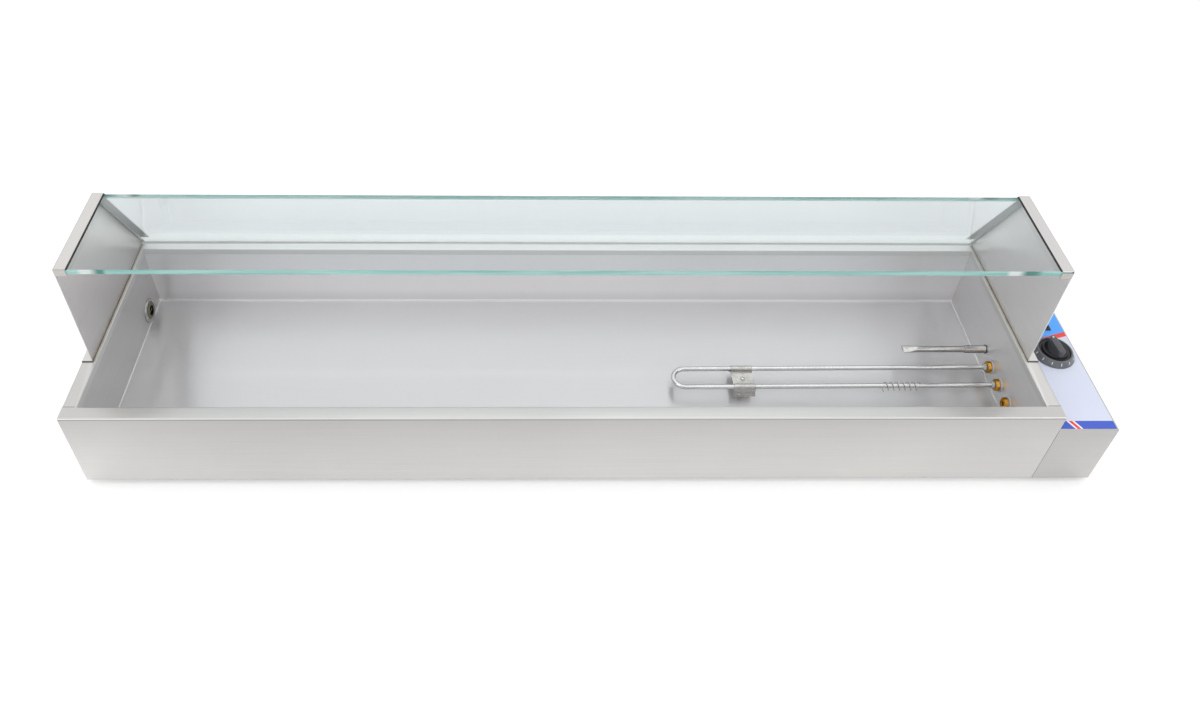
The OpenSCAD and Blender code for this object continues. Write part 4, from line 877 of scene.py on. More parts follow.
def turned(name, stacks, material, slot, *replaced, body="casing", sharp=32.0):
    """One piece from several ring stacks: (stack, centre, axis, sides, looped)."""
    bm = bmesh.new()
    for stack, centre, axis, sides, looped in stacks:
        part = bmesh.new()
        rings(part, stack, centre, axis, sides, looped)
        scratch = bpy.data.meshes.new("scratch")
        close_up(part).to_mesh(scratch)
        part.free()
        bm.from_mesh(scratch)
        bpy.data.meshes.remove(scratch)
    return piece(name, soft_mesh(name, bm, sharp), material, body, slot, *replaced)


# %% Brass glands, plug, washers and ferrules
PORT_YS = [leg_front - (leg_back - leg_front), leg_front, leg_back]
GLAND_FLATS, GLAND_THREAD, GLAND_HEAD = 16.2, 12.0, 6.4
WASHER, WASHER_R, WASHER_BORE, PLUG_KEY = 1.5, 11.0, 6.2, 3.2
gland_face = right_wall - WASHER
head_end = gland_face - GLAND_HEAD
shank_end = bench_box("element_glands")[1].x - head_end
shank_thread = thread(GLAND_THREAD / 2, GLAND_HEAD, shank_end, 1.5, 0.5)
gland_bore, sleeve_bore = element_r + 0.12, element_r + 0.1


def at_ports(stack, x, sides, ports, looped=True):
    """The same rings at several ports of the right wall."""
    return [(stack, (x, y, element_z), "X", sides, looped) for y in ports]


gland_stack = [*hexagon(GLAND_FLATS, 0.0, GLAND_HEAD, gland_bore)[:5], (GLAND_THREAD / 2 - 0.6, GLAND_HEAD),
               *shank_thread, (gland_bore, shank_end), (gland_bore, 0.5)]
turned("brass_glands", at_ports(gland_stack, head_end, 48, PORT_YS[1:]), brass, "brass", "element_glands")
plug_stack = [(0.0, 3.6), (PLUG_KEY, 3.6), (PLUG_KEY, 0.4), (PLUG_KEY + 0.5, 0.0),
              *hexagon(GLAND_FLATS, 0.0, GLAND_HEAD, PLUG_KEY)[1:5], *shank_thread, (0.0, shank_end)]
turned("brass_port_plug", at_ports(plug_stack, head_end, 48, PORT_YS[:1], False), brass, "brass", "port_plug")
washer_stack = [(WASHER_BORE, 0.0), (WASHER_R - 0.4, 0.0), (WASHER_R, 0.4), (WASHER_R, WASHER), (WASHER_BORE, WASHER)]
turned("port_washer_set", at_ports(washer_stack, gland_face, 56, PORT_YS), pale_washer, "washer_pale", "port_washers")
ferrule_x, ferrule_r, ferrule = (bench_box("element_ferrules")[0].x, span("element_ferrules").z / 2,
                                 span("element_ferrules").x)
ferrule_stack = [(sleeve_bore, 0.2), (element_r + 0.6, 0.0), (ferrule_r - 0.5, 0.0), (ferrule_r, 0.6),
                 (ferrule_r, ferrule), (sleeve_bore, ferrule)]
turned("element_ferrule_pair", at_ports(ferrule_stack, ferrule_x, 40, PORT_YS[1:]), pale_washer, "washer_pale",
       "element_ferrules")
nut_stack = hexagon(GLAND_FLATS, 0.0, span("gland_nuts").x, GLAND_THREAD / 2 + 0.1)
turned("brass_gland_nuts", at_ports(nut_stack, bench_box("gland_nuts")[0].x, 48, PORT_YS), brass, "brass", "gland_nuts")
print("ports at y", [round(y, 1) for y in PORT_YS])

# %% The thermowell, lofted from a pinched tip to a round tube
TUBE_R, SLEEVE_R, PINCH_HALF, SLEEVE, LOFT_SIDES = 4.75, 5.95, 7.0, 33.0, 40
well_low, well_high = bench_box("thermowell")
_, well_y, tube_z = middle("thermowell")
tip, sleeve_x = well_low.x, right_wall - SLEEVE
loft = [(tip, PINCH_HALF - 0.5, 1.0), (tip + 0.6, PINCH_HALF, 1.45), (tip + 6.0, PINCH_HALF, 1.5),
        (tip + 9.0, 6.75, 1.9), (tip + 13.0, 6.0, 3.0), (tip + 17.0, 5.25, 4.05)]
loft += [(x, r, r) for x, r in (
    (tip + 22.0, TUBE_R), (tip + 24.0, TUBE_R), (sleeve_x - 0.3, TUBE_R), (sleeve_x, SLEEVE_R - 0.5),
    (sleeve_x + 0.5, SLEEVE_R), (right_wall - 2.2, SLEEVE_R), (right_wall - 0.6, SLEEVE_R + 0.5),
    (right_wall, SLEEVE_R + 0.75), (right_wall + 0.02, TUBE_R), (well_high.x, TUBE_R))]


def oval(half_width, half_height, a):
    """A rounded section that goes from a flat oval to a circle."""
    power = 1.0 if half_width == half_height else 0.72
    c, s = math.cos(a), math.sin(a)
    return half_width * math.copysign(abs(c) ** power, c), half_height * math.copysign(abs(s) ** power, s)


bm = bmesh.new()
loft_rows = []
for x, w, h in loft:
    section = [oval(w, h, 2 * math.pi * k / LOFT_SIDES) for k in range(LOFT_SIDES)]
    loft_rows.append([bm.verts.new(at(x, well_y + across, tube_z + up)) for across, up in section])
skin(bm, loft_rows)
piece("pinched_thermowell", soft_mesh("pinched_thermowell", close_up(bm), 40), probe_steel, "casing",
      "bracket_steel", "thermowell")
gasket_stack = [(SLEEVE_R + out, x) for out, x in ((0.1, -1.0), (0.7, -1.0), (1.1, -0.6), (1.2, 0.0), (0.1, 0.0))]
turned("thermowell_gasket", [(gasket_stack, (right_wall, well_y, tube_z), "X", 48, True)], black_rubber,
       "black_rubber")
print("thermowell tip at", round(tip, 1))

# %% [markdown]
# ## Drain and its valve
# A steel ring frames the hole in the left wall and a brass spigot with a strainer bar runs through to a ball
# valve outside. The outlet and the spigot carry real thread rings, because a thread shows in the outline. The
# bores are painted near black as painted shade, for holes that light hardly reaches, and the spigot's brass is
# painted dark olive as painted shade.

# %% Turn the drain
DRAIN_THREAD, DRAIN_BORE, RING_WIDER, LIP_OUT = 20.8, 14.0, 2.6, 3.6
BAR, BAR_X, BAR_OVER = 1.5, 2.25, 0.8
_, drain_y, drain_z = middle("drain_flange_ring")
flange_r = span("drain_flange_ring").y / 2 + RING_WIDER
drain_r, lip_r, inner_r = DRAIN_THREAD / 2, DRAIN_THREAD / 2 + LIP_OUT, DRAIN_BORE / 2


def on_drain(stack, x, sides, looped=True):
    """Rings on the drain's axis."""
    return stack, (x, drain_y, drain_z), "X", sides, looped


def paint_bore_shade(made, radius):
    """Give the faces within a radius of the drain's axis the second material, the bore's painted shade."""
    for face in made.data.polygons:
        off_axis = face.center - at(0, drain_y, drain_z)
        face.material_index = 1 if math.hypot(off_axis.y, off_axis.z) < radius * MM else 0


ring_stack = [(lip_r + 0.2, 0.0), (flange_r, 0.0), (flange_r, 1.2), (flange_r - 0.5, 2.2), (flange_r - 1.6, 3.0),
              (lip_r + 0.8, 3.0), (lip_r + 0.2, 2.5)]
turned("drain_ring", [on_drain(ring_stack, left_wall, 64)], ring_steel, "tank_steel", "drain_flange_ring")
spigot_x, spigot = bench_box("drain_spigot")[0].x, span("drain_spigot").x
spigot_stack = [*thread(drain_r, 0.0, spigot - 3.0), (lip_r, spigot - 3.0), (lip_r, spigot - 0.6),
                (lip_r - 0.6, spigot), (inner_r + 1.4, spigot), (inner_r, spigot - 1.6), (inner_r, 0.0)]
# The spigot's outside is brass painted dark and its bore near black: painted shade.
paint_bore_shade(turned("brass_spigot", [on_drain(spigot_stack, spigot_x, 56)], [brass_painted_shade, bore_painted_shade], "brass",
                   "drain_spigot"), inner_r + 0.9)
bm = bmesh.new()
bmesh.ops.create_cube(bm, size=1.0, matrix=Matrix.Translation(at(left_wall + BAR_X, drain_y, drain_z))
                      @ Matrix.Diagonal((BAR * MM, (DRAIN_BORE + BAR_OVER) * MM, BAR * MM, 1.0)))
bmesh.ops.bevel(bm, geom=list(bm.edges), offset=0.25 * MM, segments=2, affect="EDGES", profile=0.5)
piece("strainer_bar", soft_mesh("strainer_bar", close_up(bm)), ring_steel, "casing", "brass")
dressed("drain_seals", black_rubber, 0.2)
lock_x, lock = bench_box("drain_lock_nut")[0].x, span("drain_lock_nut").x
turned("brass_lock_nut", [on_drain(hexagon(DRAIN_THREAD + 8, 0.0, lock, drain_r + 0.1), lock_x, 48)], brass, "brass",
       "drain_lock_nut")

# %% Turn the valve body
CHAMBER_R, STEM_R, RECESS, SOCKET_FLATS, SOCKET_FLOOR = 14.4, 3.0, 12.0, DRAIN_THREAD + 6, 15.2
valve_low, valve_high = bench_box("drain_valve_body")
valve_x = middle("drain_stem").x
out_end, socket_end, bonnet_top = valve_low.x - valve_x, valve_high.x - valve_x, valve_high.z - drain_z
chamber = [(0.0, out_end + RECESS), (inner_r - 1.0, out_end + RECESS), (inner_r - 1.0, out_end + 3.0),
           (inner_r, out_end + 0.8), (inner_r + 0.8, out_end), (drain_r - 0.9, out_end),
           *thread(drain_r, out_end + 0.6, -CHAMBER_R - 0.6), (CHAMBER_R - 2.2, -CHAMBER_R - 0.6),
           (CHAMBER_R - 0.5, -CHAMBER_R + 1.2), (CHAMBER_R, -CHAMBER_R + 3.2), (CHAMBER_R, 8.0),
           lambda a: (hex_radius(SOCKET_FLATS, a), 8.4), lambda a: (hex_radius(SOCKET_FLATS, a), socket_end - 0.9),
           (SOCKET_FLATS / 2 - RIM, socket_end), (drain_r + 0.1, socket_end), (drain_r + 0.1, SOCKET_FLOOR),
           (0.0, SOCKET_FLOOR)]
bonnet = [(0.0, 6.0), (STEM_R + 3.5, 6.0)]
bonnet += [(STEM_R + out, bonnet_top - down) for out, down in (
    (3.5, 5.2), (2.6, 4.6), (2.6, 4.0), (3.5, 3.4), (3.5, 0.6), (2.9, 0.0), (0.05, 0.0), (0.05, 4.0))]
bonnet.append((0.0, bonnet_top - 4.0))
# The valve's bore is painted near black: painted shade.
paint_bore_shade(turned("brass_valve", [on_drain(chamber, valve_x, 48, False),
                                   (bonnet, (valve_x, drain_y, drain_z), "Z", 40, False)], [brass, bore_painted_shade],
                   "brass", "drain_valve_body"), inner_r - 0.5)
print("valve axis", round(valve_x, 1), round(drain_y, 1))

# %% [markdown]
# ## Lever of the drain valve
# The lever is a punched flat bar with a dipped rubber sleeve. It turns with the ball inside the valve, so each
# of these pieces rides on the moving body. The ball and the stem stay as CAD made them, with a finish of their
# own, because the brass hides them. So do the parts inside the control box. The ball's finish is painted shade,
# near black.


# %% Dress the lever and paint hidden CAD nodes
def painted(material, *names):
    """Give CAD nodes that stay in the picture a finish without touching their shape."""
    for name in names:
        nodes[name].data.materials.clear()
        nodes[name].data.materials.append(material)


dressed("drain_lever", fastener_steel, 0.35)
dressed("lever_sleeve", black_rubber, 1.1, 3)
LEVER_NUT_FLATS, LEVER_NUT_BORE = 10.0, 3.05
lever_nut = hexagon(LEVER_NUT_FLATS, 0.0, span("lever_nut").z, LEVER_NUT_BORE)
turned("lever_nut_hex", [(lever_nut, (valve_x, drain_y, bench_box("lever_nut")[0].z), "Z", 48, True)], fastener_steel,
       "fastener_steel", "lever_nut", body="drain_handle")
# The ball is painted near black: painted shade in the closed valve.
painted(bore_painted_shade, "drain_ball")
painted(fastener_steel, "drain_stem", "knob_shaft", "element_pins")
painted(white_ceramic, "element_insulators", "terminal_block")
painted(thermostat_grey, "thermostat_body")
painted(copper, "thermostat_bulb")
painted(wire_blue, "control_wiring")
painted(brass, "thermowell_nut")
painted(black_plastic, "cable_gland_nut")
print("lever turns about x", round(valve_x, 1))

# %% [markdown]
# ## Screws and feet, set out by nodes
# The same pan-head screw comes back in five places and the same rubber foot in four. One Geometry Nodes tree
# puts copies of a template on a handful of points, turned the way each row needs. The cross recess is real:
# the flat of the head is filled between a circle and a cross, and the cross goes down.

# %% The tree that sets out copies
UPRIGHT, FLIP, QUARTER = (0.0, 0.0, 0.0), (math.pi, 0.0, 0.0), (0.0, math.pi / 2, 0.0)
copies_tree, copies_in, copies_out = geometry_tree("Set out copies", ("Template", "Object", None),
                                                   ("Turn", "Vector", UPRIGHT))
template_of = add_node(copies_tree, "GeometryNodeObjectInfo", {"Object": copies_in["Template"]})
turn_to = add_node(copies_tree, "FunctionNodeEulerToRotation", {"Euler": copies_in["Turn"]})
on_points = add_node(copies_tree, "GeometryNodeInstanceOnPoints", {
    "Points": copies_in["Geometry"], "Instance": template_of.outputs["Geometry"],
    "Rotation": turn_to.outputs["Rotation"]})
end_tree(on_points.outputs["Instances"], copies_in, copies_out)


def set_out(name, template_mesh, points, turn, material):
    """Copies of a template mesh on bench points, as one plain mesh."""
    template = bpy.data.objects.new(name + "_template", template_mesh)
    scene.collection.objects.link(template)
    dots = bpy.data.meshes.new(name + "_dots")
    dots.from_pydata([at(*p) for p in points], [], [])
    mesh = grown(name, dots, copies_tree, {"Template": template, "Turn": turn, "Paint": material})
    bpy.data.objects.remove(template)
    mesh.set_sharp_from_angle(angle=math.radians(30))
    return mesh


# %% The pan-head screw
HEAD_R, HEAD_TOP, HEAD_FLAT = 3.5, 2.3, 1.95
CROSS_ARM, CROSS_HALF, CROSS_DEEP, CROSS_TAPER = 1.65, 0.4, 1.1, 0.75


def near_origin(x, y, z):
    return Vector((x, y, z)) * MM


def screw_mesh(shank, nut_from=None):
    """A pan-head screw on its seat at the origin: head up, threaded shank down and a nut if one is asked for."""
    bm = bmesh.new()
    stack = [(0.0, -shank), (1.6, -shank), *thread(2.0, -shank + 0.3, 0.0, 0.8, 0.3), (HEAD_R - 0.1, 0.0),
             (HEAD_R, 0.15), (HEAD_R - 0.1, 0.9), (HEAD_R - 0.5, 1.6), (HEAD_R - 1.1, 2.1), (HEAD_FLAT, HEAD_TOP)]
    rings(bm, stack, (0, 0, 0), "Z", 36, False, near_origin)
    bmesh.ops.remove_doubles(bm, verts=bm.verts, dist=1e-7)
    rim = [e for e in bm.edges if e.is_boundary]
    cross = [(CROSS_ARM, -CROSS_HALF), (CROSS_ARM, CROSS_HALF), (CROSS_HALF, CROSS_HALF)]
    while len(cross) < 12:
        cross.append((-cross[-3][1], cross[-3][0]))
    upper = [bm.verts.new(near_origin(x, y, HEAD_TOP)) for x, y in cross]
    lower = [bm.verts.new(near_origin(x * CROSS_TAPER, y * CROSS_TAPER, HEAD_TOP - CROSS_DEEP)) for x, y in cross]
    edges = [bm.edges.new((upper[k], upper[(k + 1) % 12])) for k in range(12)]
    bmesh.ops.triangle_fill(bm, use_beauty=True, edges=rim + edges)
    skin(bm, [upper, lower], caps=False)
    bm.faces.new(lower)
    if nut_from is not None:
        rings(bm, hexagon(7.0, nut_from - 3.2, nut_from, 1.9), (0, 0, 0), "Z", 48, True, near_origin)
    return soft_mesh("pan_head_screw", close_up(bm))


# %% Set out the screws
GUARD_ROWS, GUARD_INSET = (130.0, 218.5, 311.0), 3.81
FEET, FOOT_SEAT = [(x, y) for x in (-637.0, 637.0) for y in (48.0, 332.0)], 4.0
guard_low, guard_high = bench_box("guard_screws")
guard_xs = (guard_low.x + GUARD_INSET, guard_high.x - GUARD_INSET)
bracket_seat = bench_box("bracket_screw")[1].z - HEAD_TOP - sag(bracket_x)
control_seat = bench_box("control_screws")[1].x - HEAD_TOP
thermostat_seat = bench_box("thermostat_screws")[1].z - HEAD_TOP
rows = {
    "guard_screws": (screw_mesh(10.2, -2.2), [(x, y, guard_high.z - HEAD_TOP) for x in guard_xs for y in GUARD_ROWS],
                     UPRIGHT),
    "bracket_screw": (screw_mesh(9.0), [(bracket_x, leg_mid, bracket_seat)], UPRIGHT),
    "foot_screws": (screw_mesh(11.9), [(x, y, FOOT_SEAT) for x, y in FEET], FLIP),
    "control_screws": (screw_mesh(9.5), [(control_seat, y, z) for y in (8.5, 371.5) for z in (32.0, 100.0)], QUARTER),
    "thermostat_screws": (screw_mesh(9.0), [(x, 140.0, thermostat_seat) for x in (717.0, 745.0)], UPRIGHT)}
for node, (template_mesh, points, turn) in rows.items():
    screw_steel = heater_steel if node == "bracket_screw" else fastener_steel
    made = set_out(node + "_set", template_mesh, points, turn, screw_steel)
    piece(node + "_set", made, screw_steel, "casing", "fastener_steel", node)
    print(node, len(points), "screws")

# %% The rubber feet
FOOT_R, FOOT_BORE = 16.0, 2.2
foot_top = bench_box("rubber_feet")[1].z
foot_stack = [(FOOT_BORE, FOOT_SEAT), (5.4, FOOT_SEAT), (6.0, 3.4), (6.0, 0.6), (6.5, 0.0)]
foot_stack += [(FOOT_R - inset, z) for inset, z in (
    (3.2, 0.0), (2.2, 0.2), (1.5, 0.8), (1.1, 3.0), (1.5, 3.3), (1.5, 3.8), (0.9, 4.1), (0.0, foot_top))]
bm = bmesh.new()
rings(bm, foot_stack + [(FOOT_BORE, foot_top)], (0, 0, 0), "Z", 64, True, near_origin)
foot_mesh = set_out("rubber_feet_set", soft_mesh("rubber_foot", close_up(bm)), [(x, y, 0.0) for x, y in FEET],
                    UPRIGHT, black_rubber)
piece("rubber_feet_set", foot_mesh, black_rubber, "casing", "black_rubber", "rubber_feet")

# %% [markdown]
# ## The dial
# A glossy grey bezel slopes up to a knob that sits in it with a dark gap all round. White ticks lie on the
# slope. They come from a third tree that puts little bars round a circle, from a start angle over a sweep, and
# tilts each one to lie on a cone.

# %% A tree for bars round a circle
bars_tree, bars_in, bars_out = geometry_tree(
    "Bars round a circle", ("Count", "Int", 11), ("Radius", "Float", 0.0277), ("Start", "Float", 0.0),
    ("Sweep", "Float", 4.7), ("Tilt", "Float", 1.05), ("Size", "Vector", (0.005, 0.001, 0.0004)),
    ("Place", "Vector", UPRIGHT), ("Stand", "Vector", UPRIGHT))
index = add_node(bars_tree, "GeometryNodeInputIndex").outputs["Index"]
share = math_node("DIVIDE", index, math_node("SUBTRACT", bars_in["Count"], 1))
angle = math_node("ADD", math_node("MULTIPLY", share, bars_in["Sweep"]), bars_in["Start"])
spot = add_node(bars_tree, "ShaderNodeCombineXYZ", {
    "X": math_node("MULTIPLY", math_node("COSINE", angle), bars_in["Radius"]),
    "Y": math_node("MULTIPLY", math_node("SINE", angle), bars_in["Radius"])})
euler = add_node(bars_tree, "ShaderNodeCombineXYZ", {"Y": bars_in["Tilt"], "Z": angle})
dots = add_node(bars_tree, "GeometryNodePoints", {"Count": bars_in["Count"], "Position": spot.outputs["Vector"]})
bar = add_node(bars_tree, "GeometryNodeMeshCube", {"Size": bars_in["Size"]})
bar_turn = add_node(bars_tree, "FunctionNodeEulerToRotation", {"Euler": euler.outputs["Vector"]})
bar_copies = add_node(bars_tree, "GeometryNodeInstanceOnPoints", {
    "Points": dots.outputs["Points"], "Instance": bar.outputs["Mesh"], "Rotation": bar_turn.outputs["Rotation"]})
bar_place = add_node(bars_tree, "GeometryNodeTransform", {
    "Geometry": bar_copies.outputs["Instances"], "Translation": bars_in["Place"], "Rotation": bars_in["Stand"]})
end_tree(bar_place.outputs["Geometry"], bars_in, bars_out)


def bars(name, material, slot, **values):
    """A piece of bars round a circle on the casing; the tree's inputs go by name."""
    mesh = grown(name, bpy.data.meshes.new("empty"), bars_tree, {**values, "Paint": material})
    print(name, "bars:", len(mesh.polygons) // 6)
    return piece(name, mesh, material, "casing", slot)


# %% Bezel and ticks
BEZEL_BORE, BEZEL_HUB, BEZEL_FLOOR = 22.8, 5.1, 1.6
knob_x, knob_y, _ = middle("dial_bezel")
bezel_r, bezel_h, deck_z = span("dial_bezel").x / 2, span("dial_bezel").z, bench_box("dial_bezel")[0].z
slope_out, slope_in = (bezel_r - 1.2, 3.2), (BEZEL_BORE + 3.0, bezel_h - 1.4)
slope_run, slope_rise = slope_out[0] - slope_in[0], slope_in[1] - slope_out[1]
bezel_stack = [(BEZEL_HUB, 0.0), (bezel_r - 0.3, 0.0), (bezel_r, 0.3), (bezel_r, 1.2), (bezel_r - 0.5, 2.0),
               slope_out, slope_in, (BEZEL_BORE + 2.3, bezel_h - 0.4), (BEZEL_BORE + 1.6, bezel_h),
               (BEZEL_BORE + 0.7, bezel_h), (BEZEL_BORE, bezel_h - 0.7), (BEZEL_BORE, BEZEL_FLOOR),
               (BEZEL_HUB, BEZEL_FLOOR)]
turned("dial_bezel_ring", [(bezel_stack, (knob_x, knob_y, deck_z), "Z", 112, True)], grey_plastic, "bezel_grey",
       "dial_bezel", sharp=38)
bars("dial_ticks", white_mark, "bezel_grey", Count=11, Radius=(slope_in[0] + slope_run / 2) * MM,
     Start=math.radians(50), Sweep=math.radians(-280), Tilt=math.atan2(slope_rise, slope_run),
     Size=(0.0042, 0.0011, 0.0003), Place=at(knob_x, knob_y, deck_z + slope_out[1] + slope_rise / 2), Stand=UPRIGHT)

# %% [markdown]
# ## Knob and switch
# The knob is a scooped black disc with a rounded blade across it for the fingers, painted lighter grey as painted
# light, and a white dot at the pointer end. The blade is a stack of stadium-shaped rings that flare at the foot and
# round off at the top.
# Disc, blade and dot ride on the turning body, and the rocker with its two marks rides on the tilting one.


# %% Turn the knob and loft its blade
def stadium(half_width, half_length, a):
    """Distance from the middle to a stadium's edge in a direction; its long side lies along Y."""
    straight = half_length - half_width
    c, s = abs(math.cos(a)), abs(math.sin(a))
    if c > 1e-9 and half_width / c * s <= straight:
        return half_width / c
    return straight * s + math.sqrt(max(0.0, half_width ** 2 - (straight * c) ** 2))


DISC, STEP_R, SHAFT_R, OFF_TURN, DOT_OUT = 9.9, 18.8, 3.05, math.radians(6.0), 14.2
BLADE_HALF, BLADE_REACH, BLADE_LOW = 5.6, 17.9, DISC - 5.4
knob_low, knob_high = bench_box("control_knob")
knob_r, top = span("control_knob").x / 2, span("control_knob").z
disc_stack = [(SHAFT_R, 0.0), (7.0, 0.0), (7.0, 2.5), (knob_r - 2.0, 2.5), (knob_r - 2.0, 0.0), (knob_r - 0.4, 0.0),
              (knob_r, 0.4), (knob_r, DISC - 5.0), (knob_r - 0.4, DISC - 4.6)]
disc_stack += [(STEP_R + out, DISC - down) for out, down in (
    (0.4, 4.6), (0.0, 4.2), (-0.2, 1.0), (-0.6, 0.3), (-1.3, 0.0), (-2.2, 0.15), (-3.4, 0.9), (-5.4, 2.4), (-7.6, 3.9),
    (-9.6, 4.8))]
disc_stack += [(6.0, DISC - 5.0), (SHAFT_R, DISC - 5.0)]


def blade_ring(grow, height):
    return lambda a: (stadium(BLADE_HALF + grow, BLADE_REACH + grow * 0.6, a - OFF_TURN), height)


blade_stack = [(0.0, BLADE_LOW), blade_ring(1.8, BLADE_LOW), blade_ring(0.9, DISC - 4.4), blade_ring(0.35, DISC - 3.2),
               blade_ring(0.0, DISC - 1.2), blade_ring(-0.2, top - 1.9), blade_ring(-0.4, top - 1.1),
               blade_ring(-0.9, top - 0.55), blade_ring(-1.6, top - 0.3), (0.0, top - 0.3)]
knob_foot = (knob_x, knob_y, knob_low.z)
turned("black_knob", [(disc_stack, knob_foot, "Z", 96, True)], knob_plastic, "black_plastic", "control_knob",
       body="knob", sharp=34)
# The blade is painted lighter grey: painted light.
turned("knob_grip", [(blade_stack, knob_foot, "Z", 192, False)], grip_plastic_painted_light, "black_plastic", body="knob", sharp=34)
dot_at = (knob_x - DOT_OUT * math.sin(OFF_TURN), knob_y + DOT_OUT * math.cos(OFF_TURN), knob_high.z - 0.3)
turned("knob_dot", [([(0.0, -0.5), (1.5, -0.5), (1.5, 0.12), (1.2, 0.25), (0.0, 0.28)], dot_at, "Z", 32, False)],
       white_mark, "black_plastic", body="knob")
print("knob at", round(knob_x, 1), round(knob_y, 1), "top", round(knob_high.z, 1))

# %% The switch and its marks
VALLEY, SHOULDER, ROCKER_R, ROCKER_DROP = 4.8, 6.6, 12.6, 3.9
MARK_STEPS, MARK_LEVELS = 32, (-0.1, 0.12)
dressed("switch_housing", black_plastic, 0.45, 3)
dressed("switch_rocker", black_plastic, 0.5, 3)
rocker_axis = middle("switch_housing")
rocker_axis.z = bench_box("switch_housing")[1].z - ROCKER_DROP
lean = Matrix.Rotation(math.radians(-10.0), 3, "Y")


def on_rocker(x, y, lift):
    """A scene point on the rocker's sloping top, leaned as the rocker lies at rest."""
    return at(*(rocker_axis + lean @ Vector((x, y, VALLEY + (SHOULDER - VALLEY) * abs(x) / ROCKER_R + lift))))


bm = bmesh.new()
mark_turns = [2 * math.pi * k / MARK_STEPS for k in range(MARK_STEPS)]
low_mark, high_mark = MARK_LEVELS
ring_rows = [[bm.verts.new(on_rocker(-7.2 + r * math.cos(a), r * math.sin(a), lift)) for a in mark_turns]
             for r, lift in ((1.7, low_mark), (2.3, low_mark), (2.3, high_mark), (1.7, high_mark))]
skin(bm, ring_rows + ring_rows[:1], caps=False)
skin(bm, [[bm.verts.new(on_rocker(x, y, lift)) for x, y in ((6.9, -2.3), (7.5, -2.3), (7.5, 2.3), (6.9, 2.3))]
          for lift in MARK_LEVELS])
piece("rocker_marks", soft_mesh("rocker_marks", close_up(bm)), white_mark, "rocker", "black_plastic")
print("rocker axis", [round(v, 1) for v in rocker_axis])

# %% [markdown]
# ## Cable gland
# The gland at the back of the control box is a moulded hexagon with a ribbed cap. The cap's grip ribs are the
# bars tree again, stood up to face backwards.

# %% Turn the gland and set its ribs
CORD_R, HEX_ACROSS, HEX_THICK, GLAND_OUT = 4.6, 22.0, 5.0, 16.0
cable_x, _, cable_z = middle("cable_gland")
cable_y, gland_end = bench_box("cable_gland")[0].y, span("cable_gland").y
hex_start = gland_end - GLAND_OUT
cap_r, flats, cap_start = HEX_ACROSS / 2 - 1.5, HEX_ACROSS * math.cos(math.pi / 6), hex_start + HEX_THICK
cable_stack = [(CORD_R, 0.4), *thread(8.0, 0.0, hex_start, 1.5, 0.5), (flats / 2 - 0.2, hex_start),
               lambda a: (hex_radius(flats, a), hex_start + 0.5), lambda a: (hex_radius(flats, a), cap_start - 0.5),
               (flats / 2 - 0.2, cap_start), (cap_r - 0.5, cap_start + 0.1), (cap_r - 0.5, gland_end - 5.0),
               (cap_r - 1.2, gland_end - 2.2), (cap_r - 2.6, gland_end - 0.6), (cap_r - 3.2, gland_end),
               (CORD_R + 0.5, gland_end), (CORD_R, gland_end - 0.6)]
turned("cable_gland_body", [(cable_stack, (cable_x, cable_y, cable_z), "Y", 60, True)], black_plastic,
       "black_plastic", "cable_gland")
bars("cable_gland_ribs", black_plastic, "black_plastic", Count=25, Radius=(cap_r - 0.4) * MM, Start=0.0,
     Sweep=2 * math.pi, Tilt=0.0, Size=(0.0008, 0.0011, 0.0052),
     Place=at(cable_x, cable_y + cap_start + 2.9, cable_z), Stand=(-math.pi / 2, 0.0, 0.0))

# %% [markdown]
# ## Printed film on the control box
# The film is one screen-printed sheet. A small group makes the mask of one band between two edges, and the
# material stacks bands of ink on a pale lavender ground. All of it is worked out from object coordinates in
# millimetres, so there is no picture to load.

# %% The printed-band group
band_group, band_in, band_out = node_group(
    "Printed band", "ShaderNodeTree", [(label, "Float", None) for label in ("Value", "Low", "High")],
    (("Mask", "Float"),))
feed(math_node("MULTIPLY", math_node("GREATER_THAN", band_in["Value"], band_in["Low"]),
               math_node("LESS_THAN", band_in["Value"], band_in["High"])), band_out["Mask"])

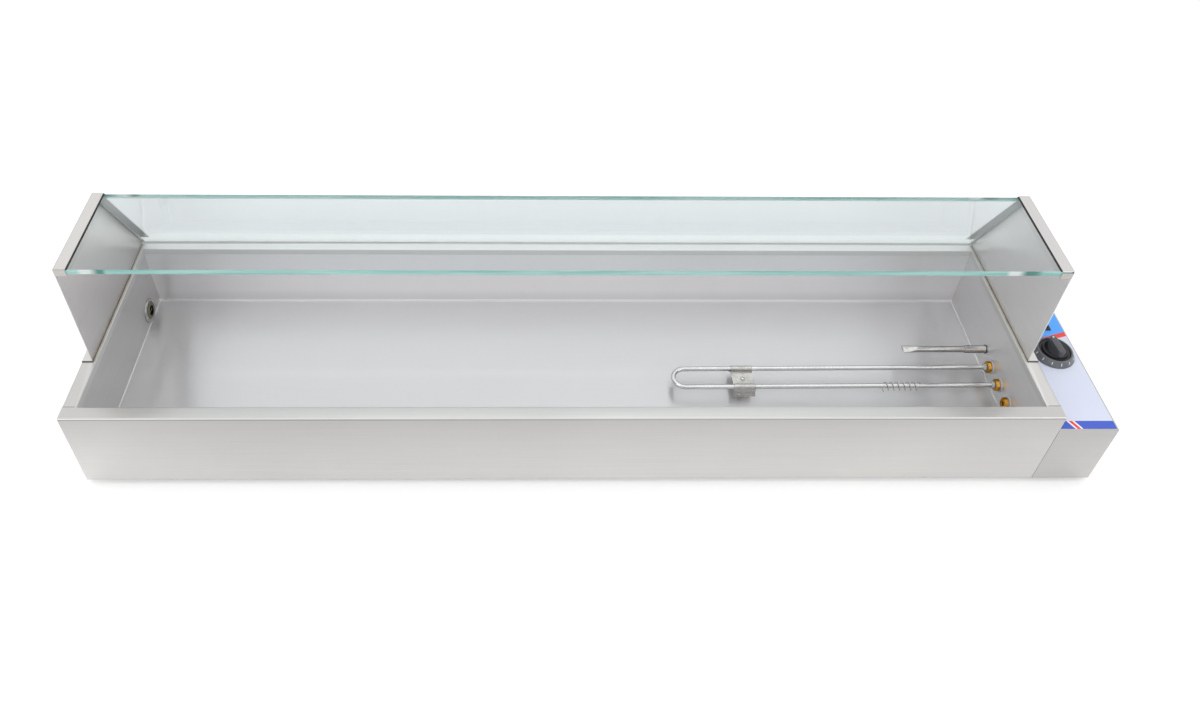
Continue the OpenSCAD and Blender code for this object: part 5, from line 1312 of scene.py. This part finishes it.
# %% The film's material
LAVENDER, DEEP_LAVENDER = colour(0.68, 0.72, 0.85), colour(0.64, 0.69, 0.83)
SKY, DEEP_SKY, ROYAL = colour(0.085, 0.38, 1.0), colour(0.1, 0.4, 0.93), colour(0.06, 0.115, 0.58)
RED, PAPER = colour(0.83, 0.07, 0.055), colour(0.9, 0.9, 0.93)
film, film_tree, film_shader = bare_material("printed_film", 0.0, Roughness=0.28, IOR=1.45)


def over_print(ground, ink, value, low, high):
    """Ink on a ground, in the band where a value lies between two edges."""
    mask = add_node(film_tree, "ShaderNodeGroup", {"Value": value, "Low": low, "High": high}, node_tree=band_group)
    return mix_colour(mask.outputs["Mask"], ground, ink)


film_place = add_node(film_tree, "ShaderNodeTexCoord").outputs["Object"]
film_split, dial = split_xyz(film_place), at(knob_x, knob_y, 0)
film_x = math_node("MULTIPLY", math_node("SUBTRACT", film_split["X"], dial.x), 1000.0)
film_y = math_node("MULTIPLY", math_node("SUBTRACT", film_split["Y"], dial.y), 1000.0)
print_noise = add_node(film_tree, "ShaderNodeTexNoise", {"Vector": film_place, "Scale": 60.0}).outputs["Fac"]
uneven = math_node("MULTIPLY", print_noise, 0.6)
ground = mix_colour(uneven, LAVENDER, DEEP_LAVENDER)
rear_blue = mix_colour(uneven, SKY, DEEP_SKY)
rear_edge = math_node("SUBTRACT", film_y, math_node("MULTIPLY", film_x, 0.3))
ground = over_print(ground, rear_blue, rear_edge, 34.0, 400.0)
ground = over_print(ground, RED, rear_edge, 25.5, 34.0)
front_slant = math_node("ADD", film_x, math_node("MULTIPLY", film_y, 0.55))
front_band = over_print(ROYAL, PAPER, front_slant, -100.0, -89.0)
front_band = over_print(front_band, RED, front_slant, -97.2, -91.8)
ground = over_print(ground, front_band, film_y, -400.0, -125.0)
feed(ground, film_shader.inputs["Base Color"])
film_bump = add_node(film_tree, "ShaderNodeBump", {"Height": print_noise, "Strength": 0.05, "Distance": 0.0003})
feed(film_bump.outputs["Normal"], film_shader.inputs["Normal"])
dressed("control_overlay", film, 0.12, 1)
print("film printed with", len(film_tree.nodes), "nodes")
